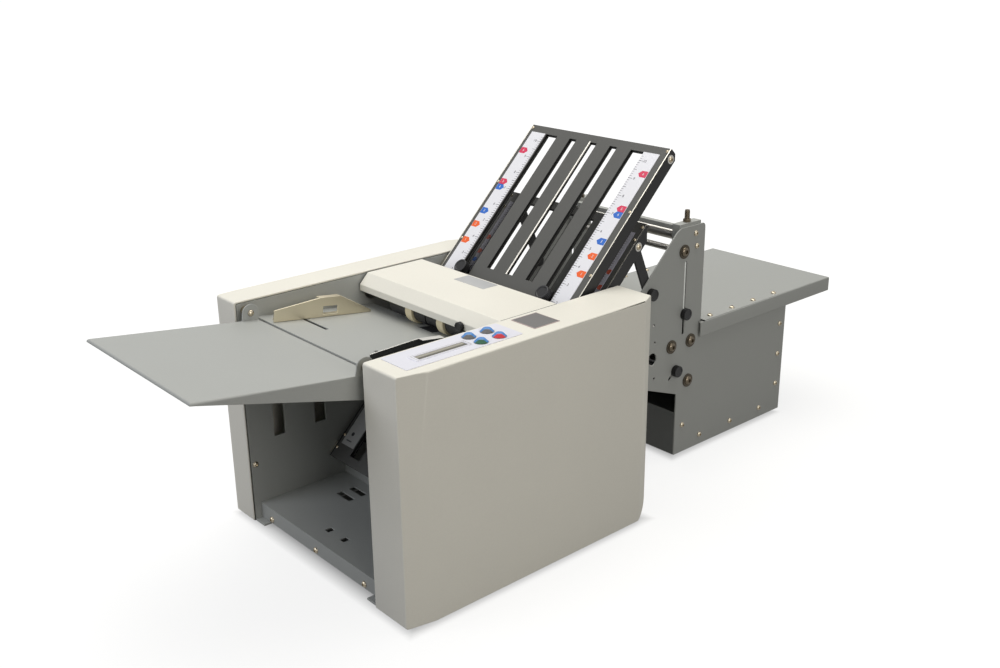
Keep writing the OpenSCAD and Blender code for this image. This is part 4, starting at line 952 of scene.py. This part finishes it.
marks_1 = (("red", 231.5), ("red", 181), ("blue", 172.5), ("blue", 134.5),
           ("orange", 113.5), ("orange", 88.5))
for side, outer, edge, inward in (("near", 107.6, 83.4, 1), ("far", -111.8, -87.6, -1)):
    ticks = [tick_row(3.2, 33.0, inch / 8, 71, edge, inward),
             tick_row(5.2, 1.5 * inch + zero_mark, inch, 9, edge, inward),
             tick_row(6.6, 2 * inch + zero_mark, inch, 9, edge, inward)]
    ticks += [numeral(str(n), 5.2, edge + inward * 9.3, n * inch + zero_mark) for n in range(2, 11)]
    print_on(ticks, f"{side}_ruler_ticks", black_ink, 1)
    for ink in ("red", "blue", "orange"):
        shapes = [flag(outer - inward * 6.7, along, 13.4, 9.0, -inward)
                  for tone, along in marks_1 if tone == ink]
        print_on(shapes, f"{side}_{ink}_marks", inks[ink], 1)
    counts = [numeral(str(6 - i), 5.2, outer - inward * 5.6, along)
              for i, (tone, along) in enumerate(marks_1)]
    print_on(counts, f"{side}_mark_numbers", white_ink, 1, film_top + ink_t)
    strip = [flag(inward * 106.5, along, 7.2, 6.6, -inward) for along in (92, 114)]
    print_on(strip, f"{side}_rear_plate_marks", inks["rust"], 3)
    print_on([flag(inward * 106.5, 79, 7.2, 6.0, -inward)], f"{side}_rear_plate_mark", inks["blue"], 3)
    print_on([tick_row(3.0, 100, inch / 8, 22, inward * 103.2, inward)], f"{side}_rear_plate_ticks",
             black_ink, 3)
    bpy.ops.mesh.primitive_cylinder_add(vertices=24, radius=2.6 * mm, depth=ink_t * mm,
                                        location=(inward * 102 * mm, -180 * mm, ink_t / 2 * mm))
    dot = bpy.context.object
    apply_place(dot)
    print_on([dot, tick_row(10, -189, 4, 1, inward * 97, inward),
              tick_row(10, -189.6, 4, 1, inward * 97, inward),
              tick_row(10, -190.2, 4, 1, inward * 97, inward)], f"{side}_lower_plate_marks", black_ink, 2)

# ---- Fold stops -----------------------------------------------------------------
# A flat bar in the gap of each plate, with a pointer over each outer slot. The first
# one has two knurled knobs that clamp it.

for i in (1, 2, 3, 4):
    stop = bench_copy(f"plate_stop_{i}", f"plate_stop_{i}_bar")
    soften(stop, 0.3)
    fit(stop, black_plastic, f"plate_stop_{i}", "black_paint", f"plate_stop_{i}")
stop_at = 49.5
knob_spots = [(plate_place(1, stop_at, across, half_stack + 2.9).translation, off_plate)
              for across in (-72, 76)]
stop_knobs = set_in_place(clamp_knob("stop_knob_model", 9.0, 8.0, 26), knob_spots, "stop_clamp_knobs")
fit(stop_knobs, black_plastic, "plate_stop_1", "black_plastic", "stop_knobs_1")

# ---- Delivery unit --------------------------------------------------------------
# Two side plates with tall fins, a folded box between them and the delivery table on
# top, all in the same grey coat; the box is given a darker copy of it as painted shade. The rods across are
# ground steel.

box_shaded_tone = "#686A68"
for node in ("rear_near_plate", "rear_far_plate", "delivery_table"):
    sheet = bench_copy(node, f"{node}_sheet")
    if node == "delivery_table":
        round_folds(sheet, 1.6)
    soften(sheet, 0.5)
    fit(sheet, grey_coat, "chassis", "grey_paint", node)
# The box gets a darker copy of the grey coat as painted shade.
box_shaded_coat = powder_coat("grey_box_coat_painted_shade", box_shaded_tone, rough=0.46, peel_mm=1.4, depth=0.2, fleck=0.04)
box_sheet = bench_copy("rear_box_tray", "rear_box_sheet")
soften(box_sheet, 0.5)
fit(box_sheet, box_shaded_coat, "chassis", "dark_paint", "rear_box_tray")

ground_steel = plated("ground_steel", "#CFCCC6", 0.3, 0.6, (1, 1, 1))
rods = bench_copy("rear_rods", "rear_cross_rods")
soften(rods, 0.4)
fit(rods, ground_steel, "chassis", "bright_steel", "rear_rods")
roll = bench_copy("press_roller", "press_roller_steel")
soften(roll, 0.5)
fit(roll, ground_steel, "press_roller", "bright_steel", "press_roller")

# The cast tension blocks in the fin tips, each with a hexagon nut and a threaded
# adjusting screw on top.

alloy = powder_coat("blasted_alloy", "#B4B6B2", rough=0.5, peel_mm=1.2, depth=0.2, fleck=0.05)
blocks_low, blocks_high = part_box("tension_blocks")
block_top = blocks_high.z - 16 * mm
block_half = 6 * mm
stud_spots = [(Vector(((blocks_low.x + blocks_high.x) / 2, y, block_top)), (0, 0, 1))
              for y in (blocks_low.y + block_half, blocks_high.y - block_half)]
blocks = bench_copy("tension_blocks", "tension_block_castings")
cut_off(blocks, (0, 0, block_top + 0.4 * mm), (0, 0, 1))
soften(blocks, 0.25)
fit(blocks, alloy, "chassis", "cast_alloy", "tension_blocks")

bpy.ops.mesh.primitive_cylinder_add(vertices=6, radius=5.4 * mm, depth=4 * mm, location=(0, 0, 2 * mm))
nut = bpy.context.object
apply_place(nut)
soften(nut, 0.4)
bpy.ops.mesh.primitive_cylinder_add(vertices=24, radius=3.0 * mm, depth=15.6 * mm, location=(0, 0, 7.8 * mm))
core = bpy.context.object
apply_place(core)
soften(core, 0.5)
bpy.ops.mesh.primitive_cylinder_add(vertices=24, radius=3.4 * mm, depth=0.75 * mm, location=(0, 0, 4.8 * mm))
thread = bpy.context.object
apply_place(thread)
soften(thread, 0.25)
turns = thread.modifiers.new("thread", "ARRAY")
turns.use_relative_offset = False
turns.use_constant_offset = True
turns.constant_offset_displace = (0, 0, 1.1 * mm)
turns.count = 9
bpy.ops.object.modifier_apply(modifier="thread")
only(nut, core, thread)
bpy.ops.object.join()
studs = set_in_place(nut, stud_spots, "tension_studs")
fit(studs, worn_nickel, "chassis", "bright_steel", "tension_blocks")

# ---- Height bar, deflector and struts -------------------------------------------
# Black rods across the unit with a knurled clamp knob at each end. The struts from the
# second upper plate end in the same knobs.

outer_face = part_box("rear_far_plate")[1].y
inner_gap = 2.4 * mm
unit_middle = (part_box("rear_near_plate")[0].y + outer_face) / 2


def knob_pair(x, z, name):
    """Two clamp knobs on the outer faces of the side plates."""
    spots = [(Vector((x, unit_middle + side * (outer_face - unit_middle + 0.4 * mm), z)), (0, side, 0))
             for side in (-1, 1)]
    return set_in_place(clamp_knob("clamp_model", 7.6, 6.9), spots, name)


for node in ("height_bar", "exit_deflector"):
    low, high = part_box(node)
    middle = (low + high) / 2
    half_length = outer_face - unit_middle - inner_gap
    bpy.ops.mesh.primitive_cylinder_add(vertices=32, radius=4 * mm, depth=2 * half_length,
                                        rotation=(radians(90), 0, 0),
                                        location=(middle.x, unit_middle, middle.z))
    bar = bpy.context.object
    bar.name = f"{node}_rod"
    apply_place(bar)
    bpy.ops.object.mode_set(mode="EDIT")
    bpy.ops.mesh.select_mode(type="FACE")
    bpy.ops.mesh.select_all(action="DESELECT")
    bpy.ops.object.mode_set(mode="OBJECT")
    for face in bar.data.polygons:
        face.select = abs(face.normal.y) > 0.9
    bpy.ops.object.mode_set(mode="EDIT")
    bpy.ops.mesh.inset(thickness=2.2 * mm, use_individual=True)
    bpy.ops.mesh.inset(thickness=0.01 * mm, depth=inner_gap + 3 * mm, use_individual=True)
    bpy.ops.object.mode_set(mode="OBJECT")
    soften(bar, 0.2)
    knobs = knob_pair(middle.x, middle.z, "bar_knobs")
    only(bar, knobs)
    bpy.ops.object.join()
    fit(bar, black_plastic, node, "black_plastic", node)

strut_low, strut_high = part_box("support_struts")
struts = bench_copy("support_struts", "support_strut_straps")
for side in (-1, 1):
    cut_off(struts, (0, unit_middle + side * (outer_face - unit_middle), 0), (0, side, 0))
soften(struts, 0.3)
strut_knobs = knob_pair(strut_high.x - 7 * mm, strut_low.z + 7 * mm, "strut_knobs")
only(struts, strut_knobs)
bpy.ops.object.join()
fit(struts, black_coat, "chassis", "black_paint", "support_struts")

# ---- Nameplate ------------------------------------------------------------------
# A bare satin aluminium plate with a thin rolled border beside the control panel.

housing_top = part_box("near_housing")[1].z
panel_low, panel_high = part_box("control_panel")
name_x = panel_high.x + 18.8 * mm
name_length = 36.7 * mm
satin_alloy = plated("satin_aluminium", "#7F7D7C", 0.5, 0.5, (1, 12, 1))
border_alloy = plated("bright_border", "#B9A9A7", 0.4, 0.5, (1, 1, 1))
nameplate = flat_plate("bare_nameplate", (name_x, panel_low.y + 3 * mm, housing_top),
                       (name_x + name_length, panel_high.y - 2.5 * mm, housing_top + 0.5 * mm), 0.15)
fit(nameplate, border_alloy, "chassis", "bright_steel")
face = flat_plate("bare_nameplate_face", (name_x + 1.2 * mm, panel_low.y + 4.2 * mm, housing_top + 0.3 * mm),
                  (name_x + 35.5 * mm, panel_high.y - 3.7 * mm, housing_top + 0.58 * mm), 0.05)
fit(face, satin_alloy, "chassis", "bright_steel")
